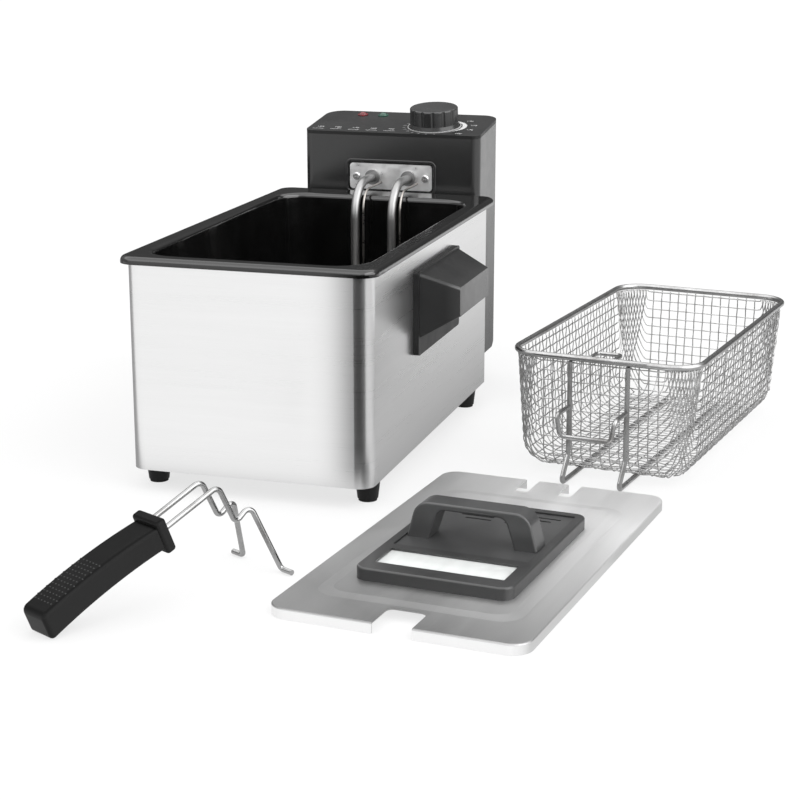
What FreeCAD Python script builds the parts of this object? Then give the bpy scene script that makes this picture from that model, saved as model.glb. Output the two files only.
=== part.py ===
import FreeCAD, Part
import math
import os
from FreeCAD import Placement, Rotation, Vector

# Deep fryer with a lift-out tank, a lift-off control head, a lid, a wire basket and its handle.
# Millimetres, +X to the right, +Y to the back, +Z up.
# The origin is on the floor under the middle of the casing.

# Casing: a wrapped sheet on four feet
CASING_W = 200.0
CASING_D = 350.0
CASING_H = 170.1
SHEET = 1.0
FRONT_CORNER_R = 13.0
BACK_CORNER_R = 3.0
BACK_RETURN = 18.0
BOTTOM_LIP = 24.0
BOTTOM_LIP_ENDS = 48.0
BACK_SCREW_INSET = 28.0
PANEL_FIT = 0.2

# Feet
FOOT_H = 17.0
FOOT_TOP_R = 10.0
FOOT_BOTTOM_R = 8.2
FOOT_INSET_X = 11.5
FOOT_INSET_Y = 29.0
FOOT_PAD_R = 7.4
FOOT_PAD_H = 2.0
FOOT_RECESS_R = 4.4
FOOT_RECESS_H = 6.0

# Screws and nuts
SCREW_R = 2.0
SCREW_HEAD_R = 3.6
SCREW_HEAD_H = 2.2
SCREW_HEAD_TAPER = 0.8
SCREW_HOLE_PLAY = 0.15
BORE_PLAY = 0.05
CROSS_W = 1.0
CROSS_SPAN = 1.2
CROSS_DEPTH = 1.1
NUT_FLATS = 7.0
NUT_H = 3.2

# Side handles: hollow scoops, open below, each on a flange plate
HANDLE_Y = 0.0
HANDLE_DROP = 21.0
HANDLE_ROOT_L = 124.0
HANDLE_ROOT_H = 58.0
HANDLE_TIP_L = 92.0
HANDLE_TIP_H = 24.0
HANDLE_TIP_DROP = 14.5
HANDLE_REACH = 35.0
HANDLE_WALL = 3.0
HANDLE_EDGE_R = 3.0
HANDLE_FLANGE_T = 5.0
HANDLE_FLANGE_H = 69.5
HANDLE_SCREW_SPACING = 90.0
HANDLE_SCREW_DROP = 17.0
HANDLE_BOSS_R = 4.6
HANDLE_BOSS_H = 9.0

# Oil tank
TANK_WALL = 1.2
RIM_OVERHANG = 5.0
RIM_BACK_OVERHANG = 18.0
RIM_H = 6.0
RIM_CORNER_R = 14.0
RIM_EDGE_R = 4.5
RIM_INNER_R = 4.0
OPENING_W = 178.0
OPENING_L = 324.0
OPENING_BACK_SHIFT = -2.0
OPENING_R = 26.0
TANK_DEPTH = 144.0
TANK_TAPER = 6.0
TANK_FLOOR_R = 10.0
SEAT_GAP = 0.2

# Control head: a hollow box that hangs on the back of the casing
HEAD_W = 170.0
HEAD_D = 78.0
HEAD_RIM_GAP = 8.0
HEAD_FLOOR_GAP = 30.0
HEAD_RISE = 53.0
HEAD_WALL = 2.5
HEAD_FRONT_R = 8.0
HEAD_BACK_R = 16.0
HEAD_CHAMFER_Y = 20.0
HEAD_CHAMFER_Z = 14.0
HEAD_SPLIT = 40.0
PANEL_SLOPE = 7.5
PANEL_T = 3.0

# Vertical guide rails on the back of the casing; the head's front wall is slotted for them
RAIL_SPACING = 100.0
RAIL_LENGTH = 110.0
RAIL_WEB_W = 5.0
RAIL_FLANGE_W = 12.0
RAIL_FLANGE_T = 2.2
RAIL_TOP_GAP = 14.0
GUIDE_PLAY = 0.4

# Safety switch and the peg that closes it
PEG_W = 6.0
PEG_H = 6.0
PEG_REACH = 36.0
PEG_RISE = 26.0
PEG_PLATE_W = 24.0
PEG_PLATE_H = 18.0
PEG_NOTCH_PLAY = 2.0
SWITCH_W = 20.0
SWITCH_H = 16.0
SWITCH_D = 10.0
SWITCH_PLUNGER_R = 1.6
SWITCH_PLUNGER_H = 4.0
SWITCH_GAP = 0.4

# Heating element and its plate
PLATE_W = 80.0
PLATE_H = 24.0
PLATE_T = 1.5
PLATE_R = 3.0
PLATE_FRAME = 1.6
PLATE_SCREW_SPACING = 67.0
BEZEL_W = 2.6
BEZEL_PROUD = 1.4
BEZEL_R = 6.0
BEZEL_EDGE_R = 0.8
TUBE_R = 4.0
TUBE_SPACING = 35.0
TUBE_RISE = 11.5
TUBE_HOLE_PLAY = 0.2
TUBE_BEND_R = 30.0
TUBE_BACK_GAP = 13.0
TUBE_FOOT_BEND_R = 16.0
TUBE_IN_HEAD = 16.0
ELEMENT_CLEARANCE = 12.0
ELEMENT_OUTER_X = 58.0
ELEMENT_INNER_X = 20.0
ELEMENT_SPREAD_Y = 38.0
ELEMENT_FRONT_GAP = 26.0
ELEMENT_REAR_TURN = 73.0
ELEMENT_BEND_R = 14.0
U_BEND_SHARE = 0.98
PIN_R = 1.6
PIN_L = 6.0
COLLAR_R = 7.0
COLLAR_T = 3.0

# Temperature feelers beside the element's risers
FEELER_R = 3.0
FEELER_L = 62.0
FEELER_GAP = 1.0
FEELER_RISE = 8.0
FEELER_TIP_R = 1.8
CAPILLARY_R = 1.0
CAPILLARY_BEND_R = 18.0
CAPILLARY_TURN_R = 4.0
CAPILLARY_DROP = 5.0
CLIP_H = 7.0
CLIP_T = 1.0
CLIP_INSET = 12.0
CLIP_FIT = 0.03

# Thermostat, its knob and lamps on the sloping panel
KNOB_X = 34.0
KNOB_PANEL_Y = 30.0
KNOB_R = 22.5
KNOB_H = 18.0
KNOB_SKIRT_R = 23.6
KNOB_SKIRT_H = 3.5
KNOB_EDGE_R = 1.4
KNOB_FLUTES = 14
KNOB_FLUTE_R = 2.6
KNOB_FLUTE_DEPTH = 0.9
KNOB_GAP = 0.6
DIAL_RING_R = 25.4
DIAL_RING_W = 0.9
DIAL_RING_T = 0.8
SHAFT_R = 3.0
SHAFT_FIT = 0.05
SHAFT_IN_KNOB = 11.0
SHAFT_IN_BODY = 12.0
SHAFT_PANEL_PLAY = 1.0
THERMOSTAT_W = 32.0
THERMOSTAT_D = 28.0
THERMOSTAT_H = 22.0
LAMP_R = 4.0
LAMP_DOME_H = 2.2
LAMP_FLANGE_R = 5.0
LAMP_FLANGE_T = 0.8
LAMP_BODY_L = 10.0
LAMP_BACK_GAP = 14.0
RED_LAMP_X = -47.5
GREEN_LAMP_X = -27.0

# Cut-out with its reset button, terminal block and cord gland on the rear cover
CUTOUT_R = 12.0
CUTOUT_L = 17.0
BUTTON_R = 4.5
BUTTON_PROUD = 3.5
BUTTON_IN = 8.0
BUTTON_TRAVEL = 2.0
BUTTON_PLAY = 0.5
BUTTON_BORE_PLAY = 0.4
BUTTON_EDGE_R = 1.1
TERMINAL_W = 44.0
TERMINAL_H = 20.0
TERMINAL_D = 14.0
TERMINAL_Z = 100.0
TERMINAL_POLES = 3
TERMINAL_HOLE_R = 2.0
TERMINAL_HOLE_DEPTH = 5.0
TERMINAL_HOLE_RISE = 4.4
GLAND_X = 40.0
GLAND_Z = 66.0
GLAND_FLANGE_R = 11.0
GLAND_FLANGE_T = 2.5
GLAND_R = 7.5
GLAND_TIP_R = 6.0
GLAND_L = 12.0
GLAND_BORE_R = 3.6
COVER_SCREW_X = 70.0
COVER_SCREW_LOW = 40.0
COVER_SCREW_HIGH = 182.0
COVER_BOSS_R = 4.6

# Lid, lying on the floor in front of the casing
LID_X = 206.8
LID_Y = -248.0
LID_TURN = -6.0
LID_W = 182.0
LID_L = 328.0
LID_H = 7.6
LID_SHEET = 1.0
LID_CORNER_R = 14.0
LID_EDGE_R = 1.2
PLATEAU_RISE = 0.8
PLATEAU_RAMP = 9.0
PLATEAU_INSET_X = 18.0
PLATEAU_INSET_FRONT = 33.0
PLATEAU_INSET_BACK = 45.0
PLATEAU_R = 16.0
NOTCH_W = 28.0
NOTCH_D = 28.0
NOTCH_R = 5.0
LID_SLOT_PLAY = 1.5
LID_SLOT_L = 31.0
LID_SLOT_R = 3.3

# Black frame on the lid with a window, a filter cover and a handle
FRAME_W = 114.0
FRAME_L = 168.0
FRAME_H = 9.0
FRAME_BACK_SHIFT = -14.0
FRAME_CORNER_R = 9.0
FRAME_EDGE_R = 1.5
WINDOW_W = 94.0
WINDOW_L = 30.0
WINDOW_FRONT_BAR = 15.0
WINDOW_SINK = 1.6
GLASS_T = 3.2
GLASS_LAP = 3.0
SEAL_W = 2.2
COVER_W = 100.0
COVER_L = 106.0
COVER_T = 4.5
COVER_BACK_BAR = 8.0
COVER_SINK = 1.2
COVER_FIT = 0.3
COVER_SKIRT = 2.0
VENT_ROWS = 4
VENT_PITCH = 6.5
VENT_W = 2.4
VENT_R = 1.1
VENT_BACK_GAP = 9.0
VENT_OUTER_X = 42.0
VENT_STEP = 5.5
VENT_BREAK = 5.0
FILTER_W = 84.0
FILTER_L = 44.0
FILTER_LAP = 3.0
FILTER_BACK_GAP = 6.0
ARCH_W = 98.0
ARCH_TOP_W = 84.0
ARCH_DEPTH = 20.0
ARCH_H = 27.0
ARCH_BAND = 5.0
ARCH_LEG = 17.0
ARCH_CORNER_R = 13.0
ARCH_INNER_R = 7.0
ARCH_FRONT_GAP = 22.0
ARCH_EDGE_R = 1.6
LID_SCREW_INSET = 6.0
LID_SCREW_SIDE = 8.0
LID_SCREW_BACK = 3.0
LID_SCREW_R = 1.5
LID_SCREW_HEAD_R = 3.0
LID_SCREW_HEAD_H = 0.9
LID_SCREW_GRIP = 5.0

# Wire basket, standing at the right of the casing
BASKET_X = 272.0
BASKET_Y = 92.0
BASKET_TURN = -8.0
BASKET_W = 160.0
BASKET_L = 298.0
BASKET_H = 104.0
BASKET_R = 27.0
BASKET_TAPER = 6.0
BASKET_FLOOR_R = 22.0
BASKET_WALL = 1.6
MESH_BAR = 4.0
MESH_ALONG = 12
MESH_ACROSS = 6
MESH_UP = 4
RIM_WIRE_R = 2.5
SUPPORT_WIRE_R = 2.0
SUPPORT_SPACING = 48.0
SUPPORT_FOOT_REACH = 16.0
SUPPORT_KNEE_H = 22.0
SUPPORT_BEND_R = 5.0
SUPPORT_TOE_R = 3.0
SUPPORT_BACK_GAP = 30.0
WIRE_TOUCH = 0.1
HOOK_HEIGHT = 62.0
HOOK_REACH = 27.0
HOOK_DROP = 17.0
HOOK_BAR_W = 42.0
HOOK_BEND_R = 4.5
HOOK_WIRE_R = 1.9
CATCH_W = 52.0
CATCH_LOOP_W = 20.0
CATCH_LOOP_L = 19.0
CATCH_BEND_R = 3.5
CATCH_WIRE_R = 1.7

# Basket handle, standing on its grip and its wire tips
GRIP_X = 62.5
GRIP_Y = -309.0
GRIP_TURN = 62.0
HANDLE_WIRE_R = 2.0
HANDLE_WIRE_SPACING = 18.0
KNEE_SPREAD = 41.0
TIP_LENGTH = 11.0
GRIP_FRONT = 99.0
GRIP_LENGTH = 95.0
GRIP_W = 24.6
GRIP_OVER_WIRE = 6.5
GRIP_UNDER_WIRE = 12.0
GRIP_REAR_H = 18.0
GRIP_REAR_LEAN = 7.5
GRIP_CROWN = 3.0
GRIP_EDGE_R = 3.0
GRIP_END_R = 5.0
GRIP_HEEL_R = 3.2
GRIP_HEEL_DROP = 1.1
WIRE_ENTRY_H = 48.5
WIRE_IN_GRIP = 30.0
PEAK_BACK = 46.0
PEAK_H = 70.3
PEAK_R = 6.0
VALLEY_BACK = 31.0
VALLEY_H = 40.6
VALLEY_R = 4.0
SECOND_PEAK_BACK = 18.0
SECOND_PEAK_H = 50.5
SECOND_PEAK_R = 5.0
KNEE_R = 3.5
FERRULE_W = 28.0
FERRULE_H = 26.0
FERRULE_T = 8.0
FERRULE_EDGE_R = 2.4

# Levels and faces that follow from the sizes above
CASING_BOTTOM = FOOT_H
CASING_TOP = FOOT_H + CASING_H
CASING_SIDE = CASING_W / 2
CASING_BACK = CASING_D / 2
RIM_TOP = CASING_TOP + SEAT_GAP + TANK_WALL
RIM_BOTTOM = RIM_TOP - RIM_H
RIM_SIDE = CASING_SIDE + RIM_OVERHANG
RIM_FRONT = -CASING_BACK - RIM_OVERHANG
RIM_BACK = CASING_BACK + RIM_BACK_OVERHANG
OPENING_FRONT = OPENING_BACK_SHIFT - OPENING_L / 2
OPENING_BACK = OPENING_BACK_SHIFT + OPENING_L / 2
TANK_FLOOR = RIM_TOP - TANK_DEPTH
PANEL_FACE = CASING_BACK - SHEET
HEAD_FRONT = RIM_BACK + HEAD_RIM_GAP
HEAD_BACK = HEAD_FRONT + HEAD_D
HEAD_BOTTOM = HEAD_FLOOR_GAP
HEAD_TOP = RIM_TOP + HEAD_RISE
HEAD_SIDE = HEAD_W / 2
SPLIT_Y = HEAD_FRONT + HEAD_SPLIT
LAMP_PANEL_Y = HEAD_D - LAMP_BACK_GAP
COVER_INSIDE = HEAD_BACK - HEAD_WALL
SLOPE = math.radians(PANEL_SLOPE)
PLATE_BOTTOM = RIM_TOP
TUBE_X = TUBE_SPACING / 2
TUBE_Z = RIM_TOP + TUBE_RISE
RISER_Y = OPENING_BACK - TUBE_BACK_GAP
ELEMENT_Z = TANK_FLOOR + ELEMENT_CLEARANCE
FEELER_OFFSET = TUBE_R + FEELER_GAP + FEELER_R
CAPILLARY_Z = TUBE_Z - CAPILLARY_DROP
RAIL_TOP = RIM_BOTTOM - RAIL_TOP_GAP
RAIL_BOTTOM = RAIL_TOP - RAIL_LENGTH
RAIL_FLANGE_Y = HEAD_FRONT + HEAD_WALL + GUIDE_PLAY
WIRE_SLOPE = (PEAK_H - WIRE_ENTRY_H) / (GRIP_FRONT - PEAK_BACK)
WIRE_ANGLE = math.atan(WIRE_SLOPE)
# How far a cutting shape reaches past what it cuts
PAST = 1.0
# Two lengths this close count as the same
SAME = 1e-4

X_AXIS = Vector(1, 0, 0)
Y_AXIS = Vector(0, 1, 0)
Z_AXIS = Vector(0, 0, 1)
LID_PLACE = Placement(Vector(LID_X, LID_Y, 0), Rotation(Z_AXIS, LID_TURN))
BASKET_PLACE = Placement(Vector(BASKET_X, BASKET_Y, 0), Rotation(Z_AXIS, BASKET_TURN))
GRIP_PLACE = Placement(Vector(GRIP_X, GRIP_Y, 0), Rotation(Z_AXIS, GRIP_TURN))
# The panel's own frame: its front edge in the middle, Y up the slope, Z square to the panel
PANEL_PLACE = Placement(Vector(0, HEAD_FRONT, HEAD_TOP), Rotation(X_AXIS, PANEL_SLOPE))


# Shape helpers

def block(x0, x1, y0, y1, z0, z1):
    return Part.makeBox(x1 - x0, y1 - y0, z1 - z0, Vector(x0, y0, z0))


def rod(base, axis, radius, length):
    return Part.makeCylinder(radius, length, base, axis)


def outline(x0, x1, y0, y1, z, radii):
    """Rectangle with rounded corners: front left, front right, back right, back left; 0 is a sharp one."""
    if not isinstance(radii, tuple):
        radii = (radii,) * 4
    corners = ((x0, y0, 1, 1, 180), (x1, y0, -1, 1, 270), (x1, y1, -1, -1, 0), (x0, y1, 1, -1, 90))
    arcs = []
    for (x, y, into_x, into_y, start), r in zip(corners, radii):
        centre = Vector(x + into_x * r, y + into_y * r, z)
        points = []
        for step in (0, 45, 90):
            angle = math.radians(start + step)
            points.append(centre + Vector(r * math.cos(angle), r * math.sin(angle), 0))
        arcs.append((r, points))
    edges = []
    for (r, points), following in zip(arcs, arcs[1:] + arcs[:1]):
        if r > 0:
            edges.append(Part.Arc(*points).toShape())
        edges.append(Part.LineSegment(points[2], following[1][0]).toShape())
    return Part.Wire(edges)


def slab(x0, x1, y0, y1, z0, z1, radii):
    return Part.Face(outline(x0, x1, y0, y1, z0, radii)).extrude(Vector(0, 0, z1 - z0))


def extruded(points, direction):
    """Straight-sided outline through the points, pushed along a vector."""
    return Part.Face(Part.makePolygon(points + points[:1])).extrude(direction)


def edges_where(shape, test):
    return [edge for edge in shape.Edges if test(edge)]


def level_edges(shape, z):
    """Edges that lie in the level plane at height z."""
    def lies(edge):
        box = edge.BoundBox
        return abs(box.ZMin - z) < SAME and abs(box.ZMax - z) < SAME
    return edges_where(shape, lies)


def upright_edges(shape, y):
    """Straight vertical edges in the plane at depth y."""
    def stands(edge):
        box = edge.BoundBox
        return box.ZLength > 1 and box.XLength < SAME and abs(box.YMin - y) < SAME and box.YLength < SAME
    return edges_where(shape, stands)


def bent_path(points, radii, closed=False):
    """Straight runs joined by tangent arcs; one radius for each bend."""
    points = [Vector(*p) for p in points]
    count = len(points)
    bends = range(count) if closed else range(1, count - 1)
    stops = {}
    for number, radius in zip(bends, radii):
        here = points[number]
        arrive = (here - points[number - 1]).normalize()
        leave = (points[(number + 1) % count] - here).normalize()
        half = arrive.getAngle(leave) / 2
        inward = (leave - arrive).normalize()
        centre = here + inward * (radius / math.cos(half))
        reach = radius * math.tan(half)
        stops[number] = (here - arrive * reach, centre - inward * radius, here + leave * reach)
    edges = []
    runs = range(count) if closed else range(count - 1)
    for number in runs:
        following = (number + 1) % count
        start = stops[number][2] if number in stops else points[number]
        end = stops[following][0] if following in stops else points[following]
        edges.append(Part.LineSegment(start, end).toShape())
        if following in stops:
            edges.append(Part.Arc(*stops[following]).toShape())
    return Part.Wire(edges)


def tube(points, radii, radius, closed=False):
    path = bent_path(points, radii, closed)
    first = path.Edges[0]
    start = first.valueAt(first.FirstParameter)
    along = first.tangentAt(first.FirstParameter)
    ring = Part.Wire(Part.Circle(start, along, radius).toShape())
    return path.makePipe(Part.Face(ring))


def screw(base, axis, shank_r, length, head_r, head_h):
    """Pan head with a cross; the base is the seat of the head and the shank runs along the axis."""
    body = rod(base, axis, shank_r, length)
    head = Part.makeCone(head_r, head_r * SCREW_HEAD_TAPER, head_h, base, axis * -1)
    top = base - axis * head_h
    side = axis.cross(Z_AXIS if abs(axis.z) < 0.5 else X_AXIS)
    reach = head_r * CROSS_SPAN / 2
    for across in (side, axis.cross(side)):
        bar = block(-CROSS_W / 2, CROSS_W / 2, -reach, reach, -CROSS_DEPTH, CROSS_DEPTH)
        bar.Placement = Placement(top, Rotation(axis.cross(across), across, axis, "ZYX"))
        head = head.cut(bar)
    return body.fuse(head).removeSplitter()


def nut(base, axis):
    hexagon = []
    for step in range(6):
        angle = math.radians(60 * step)
        radius = NUT_FLATS / 2 / math.cos(math.radians(30))
        hexagon.append(Vector(radius * math.cos(angle), radius * math.sin(angle), 0))
    bore = rod(Vector(0, 0, 0), Z_AXIS, SCREW_R + BORE_PLAY, NUT_H)
    solid = extruded(hexagon, Vector(0, 0, NUT_H)).cut(bore)
    solid.Placement = Placement(base, Rotation(Z_AXIS, axis))
    return solid


def mirrored_x(shape):
    return shape.mirror(Vector(0, 0, 0), X_AXIS)


def save(name, shapes, place=None):
    if not isinstance(shapes, list):
        shapes = [shapes]
    solids = [solid for shape in shapes for solid in shape.Solids]
    whole = solids[0] if len(solids) == 1 else Part.makeCompound(solids)
    if place is not None:
        whole = whole.copy()
        whole.Placement = place.multiply(whole.Placement)
    whole.exportStep("parts/%s.step" % name)
    print("%-22s solids %2d  volume %10.1f  valid %s" % (name, len(solids), whole.Volume, whole.isValid()))


os.makedirs("parts", exist_ok=True)


# Casing

def casing_shell():
    outer = slab(-CASING_SIDE, CASING_SIDE, -CASING_BACK, CASING_BACK, CASING_BOTTOM, CASING_TOP,
                 (FRONT_CORNER_R, FRONT_CORNER_R, BACK_CORNER_R, BACK_CORNER_R))
    inner_front_r = FRONT_CORNER_R - SHEET
    inner_back_r = BACK_CORNER_R - SHEET
    radii = (inner_front_r, inner_front_r, inner_back_r, inner_back_r)
    inside = CASING_SIDE - SHEET
    depth = CASING_BACK - SHEET
    shell = outer.cut(slab(-inside, inside, -depth, depth, CASING_BOTTOM + SHEET, CASING_TOP + PAST, radii))
    lip_side = CASING_SIDE - BOTTOM_LIP
    lip_depth = CASING_BACK - BOTTOM_LIP_ENDS
    shell = shell.cut(block(-lip_side, lip_side, -lip_depth, lip_depth, 0, CASING_BOTTOM + SHEET * 2))
    door = CASING_SIDE - BACK_RETURN
    shell = shell.cut(block(-door, door, depth - PAST, CASING_BACK + PAST,
                            CASING_BOTTOM + SHEET, CASING_TOP + PAST))
    hole_r = SCREW_R + SCREW_HOLE_PLAY
    for x, y in foot_places():
        shell = shell.cut(rod(Vector(x, y, 0), Z_AXIS, hole_r, CASING_BOTTOM + SHEET * 2))
    for side in (-1, 1):
        for y in handle_screw_ys():
            start = Vector(side * (CASING_SIDE - SHEET * 2), y, handle_screw_z())
            shell = shell.cut(rod(start, X_AXIS * side, hole_r, SHEET * 3))
    for x, z in back_screw_places():
        shell = shell.cut(rod(Vector(x, depth - SHEET, z), Y_AXIS, hole_r, SHEET * 3))
    return shell


def back_panel():
    inside = CASING_SIDE - BACK_CORNER_R - PANEL_FIT
    low = CASING_BOTTOM + SHEET * 2
    panel = block(-inside, inside, PANEL_FACE - SHEET, PANEL_FACE, low, CASING_TOP - SHEET)
    for x, z in back_screw_places():
        start = Vector(x, PANEL_FACE - SHEET * 2, z)
        panel = panel.cut(rod(start, Y_AXIS, SCREW_R + SCREW_HOLE_PLAY, SHEET * 3))
    return panel


def back_screw_places():
    x = CASING_SIDE - BACK_RETURN / 2
    low = CASING_BOTTOM + BACK_SCREW_INSET
    high = CASING_TOP - BACK_SCREW_INSET
    return [(side * x, z) for side in (-1, 1) for z in (low, high)]


def back_screws():
    length = SHEET * 2 + NUT_H
    seat = CASING_BACK
    return [screw(Vector(x, seat, z), Y_AXIS * -1, SCREW_R, length, SCREW_HEAD_R, SCREW_HEAD_H)
            for x, z in back_screw_places()]


def back_nuts():
    return [nut(Vector(x, PANEL_FACE - SHEET, z), Y_AXIS * -1) for x, z in back_screw_places()]


def base_plate():
    inside = CASING_SIDE - SHEET - PANEL_FIT
    depth = CASING_BACK - SHEET * 2 - PANEL_FIT
    corner = FRONT_CORNER_R - SHEET
    plate = slab(-inside, inside, -CASING_BACK + SHEET + PANEL_FIT, depth, CASING_BOTTOM + SHEET,
                 CASING_BOTTOM + SHEET * 2, (corner, corner, SHEET, SHEET))
    for x, y in foot_places():
        plate = plate.cut(rod(Vector(x, y, 0), Z_AXIS, SCREW_R + SCREW_HOLE_PLAY, CASING_BOTTOM + SHEET * 3))
    return plate


# Feet

def foot_places():
    x = CASING_SIDE - FOOT_INSET_X
    y = CASING_BACK - FOOT_INSET_Y
    return [(i * x, j * y) for i in (-1, 1) for j in (-1, 1)]


def foot(x, y):
    body = Part.makeCone(FOOT_BOTTOM_R, FOOT_TOP_R, FOOT_H - FOOT_PAD_H, Vector(x, y, FOOT_PAD_H), Z_AXIS)
    body = body.cut(rod(Vector(x, y, 0), Z_AXIS, FOOT_RECESS_R, FOOT_PAD_H + FOOT_RECESS_H))
    return body.cut(rod(Vector(x, y, 0), Z_AXIS, SCREW_R + SCREW_HOLE_PLAY, FOOT_H + SHEET))


def foot_pad(x, y):
    return rod(Vector(x, y, 0), Z_AXIS, FOOT_PAD_R, FOOT_PAD_H)


def foot_screw(x, y):
    seat = FOOT_PAD_H + FOOT_RECESS_H
    length = CASING_BOTTOM + SHEET * 2 + NUT_H - seat
    return screw(Vector(x, y, seat), Z_AXIS, SCREW_R, length, SCREW_HEAD_R, SCREW_HEAD_H)


def foot_nut(x, y):
    return nut(Vector(x, y, CASING_BOTTOM + SHEET * 2), Z_AXIS)


# Side handles

def handle_screw_ys():
    return (HANDLE_Y - HANDLE_SCREW_SPACING / 2, HANDLE_Y + HANDLE_SCREW_SPACING / 2)


def handle_screw_z():
    return CASING_TOP - HANDLE_DROP - HANDLE_SCREW_DROP


def handle_outline(x, half, bottom, top):
    """Rounded outline of the handle in the plane at distance x from the casing side."""
    flat = outline(-half, half, bottom, top, 0, HANDLE_EDGE_R)
    turn = Rotation(Y_AXIS, Z_AXIS, X_AXIS, "ZXY")
    flat.Placement = Placement(Vector(CASING_SIDE + x, HANDLE_Y, 0), turn)
    return flat


def handle_section(x, inset, bottom):
    """Outline of the scoop at distance x from the casing side; bottom None is its own edge."""
    share = x / HANDLE_REACH
    half = (HANDLE_ROOT_L + (HANDLE_TIP_L - HANDLE_ROOT_L) * share) / 2 - inset
    top = CASING_TOP - HANDLE_DROP - HANDLE_TIP_DROP * share - inset
    if bottom is None:
        bottom = top - (HANDLE_ROOT_H + (HANDLE_TIP_H - HANDLE_ROOT_H) * share)
    return handle_outline(x, half, bottom, top)


def side_handle():
    top = CASING_TOP - HANDLE_DROP
    scoop = Part.makeLoft([handle_section(0, 0, None), handle_section(HANDLE_REACH, 0, None)], True, True)
    below = top - HANDLE_ROOT_H * 2
    hollow = Part.makeLoft([handle_section(HANDLE_FLANGE_T, HANDLE_WALL, below),
                            handle_section(HANDLE_REACH - HANDLE_WALL, HANDLE_WALL, below)], True, True)
    flange = Part.Face(handle_outline(0, HANDLE_ROOT_L / 2, top - HANDLE_FLANGE_H, top))
    handle = scoop.cut(hollow).fuse(flange.extrude(X_AXIS * HANDLE_FLANGE_T))
    for y in handle_screw_ys():
        centre = Vector(CASING_SIDE + HANDLE_FLANGE_T, y, handle_screw_z())
        handle = handle.fuse(rod(centre, X_AXIS, HANDLE_BOSS_R, HANDLE_BOSS_H))
        start = centre - X_AXIS * (HANDLE_FLANGE_T + PAST)
        deep = HANDLE_FLANGE_T + PAST + HANDLE_BOSS_H - SHEET
        handle = handle.cut(rod(start, X_AXIS, SCREW_R + BORE_PLAY, deep))
    return handle.removeSplitter()


def handle_screws():
    length = SHEET + HANDLE_FLANGE_T + HANDLE_BOSS_H - SHEET * 2
    right = []
    for y in handle_screw_ys():
        seat = Vector(CASING_SIDE - SHEET, y, handle_screw_z())
        right.append(screw(seat, X_AXIS, SCREW_R, length, SCREW_HEAD_R, SCREW_HEAD_H))
    return right + [mirrored_x(one) for one in right]


# Guide rails and the peg of the safety switch

def guide_rail(x):
    """T-shaped rail: its web crosses the slot in the head, its flange lies behind the head's front wall."""
    half = RAIL_FLANGE_W / 2
    web = block(x - RAIL_WEB_W / 2, x + RAIL_WEB_W / 2, PANEL_FACE, RAIL_FLANGE_Y, RAIL_BOTTOM, RAIL_TOP)
    flange = block(x - half, x + half, RAIL_FLANGE_Y, RAIL_FLANGE_Y + RAIL_FLANGE_T, RAIL_BOTTOM, RAIL_TOP)
    foot_plate = block(x - half, x + half, PANEL_FACE, PANEL_FACE + SHEET, RAIL_BOTTOM, RAIL_TOP)
    return web.fuse([flange, foot_plate]).removeSplitter()


def guide_slot(x):
    """What the head gives up for the rail: a slot in its front wall and a wider one in its floor."""
    neck = RAIL_WEB_W / 2 + GUIDE_PLAY
    half = RAIL_FLANGE_W / 2 + GUIDE_PLAY
    inside = HEAD_FRONT + HEAD_WALL
    slot = block(x - neck, x + neck, HEAD_FRONT - PAST, inside, 0, RAIL_TOP + GUIDE_PLAY)
    way_in = block(x - half, x + half, inside, RAIL_FLANGE_Y + RAIL_FLANGE_T + GUIDE_PLAY, 0, RAIL_BOTTOM)
    return slot.fuse(way_in)


def interlock_peg():
    z = HEAD_BOTTOM + PEG_RISE
    peg = block(-PEG_W / 2, PEG_W / 2, PANEL_FACE, PANEL_FACE + PEG_REACH, z, z + PEG_H)
    middle = z + PEG_H / 2
    plate = block(-PEG_PLATE_W / 2, PEG_PLATE_W / 2, PANEL_FACE, PANEL_FACE + SHEET, middle - PEG_PLATE_H / 2,
                  middle + PEG_PLATE_H / 2)
    return peg.fuse(plate).removeSplitter()


# Oil tank

def tank_hollow(grow, floor, top):
    side = OPENING_W / 2 + grow
    deep = TANK_TAPER
    wide = outline(-side, side, OPENING_FRONT - grow, OPENING_BACK + grow, top, OPENING_R + grow)
    low_side = side - deep
    low_front = OPENING_FRONT - grow + deep
    low_back = OPENING_BACK + grow - deep
    narrow = outline(-low_side, low_side, low_front, low_back, floor, OPENING_R + grow - deep)
    tub = Part.makeLoft([narrow, wide], True, True)
    return tub.makeFillet(TANK_FLOOR_R + grow, level_edges(tub, floor))


def around_opening(edge):
    """True for an edge that runs round the opening, not round the outside of the rim."""
    box = edge.BoundBox
    inside_x = max(abs(box.XMin), abs(box.XMax)) < RIM_SIDE - RIM_EDGE_R - SAME
    return inside_x and box.YMin > RIM_FRONT + RIM_EDGE_R + SAME and box.YMax < RIM_BACK - RIM_EDGE_R - SAME


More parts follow.
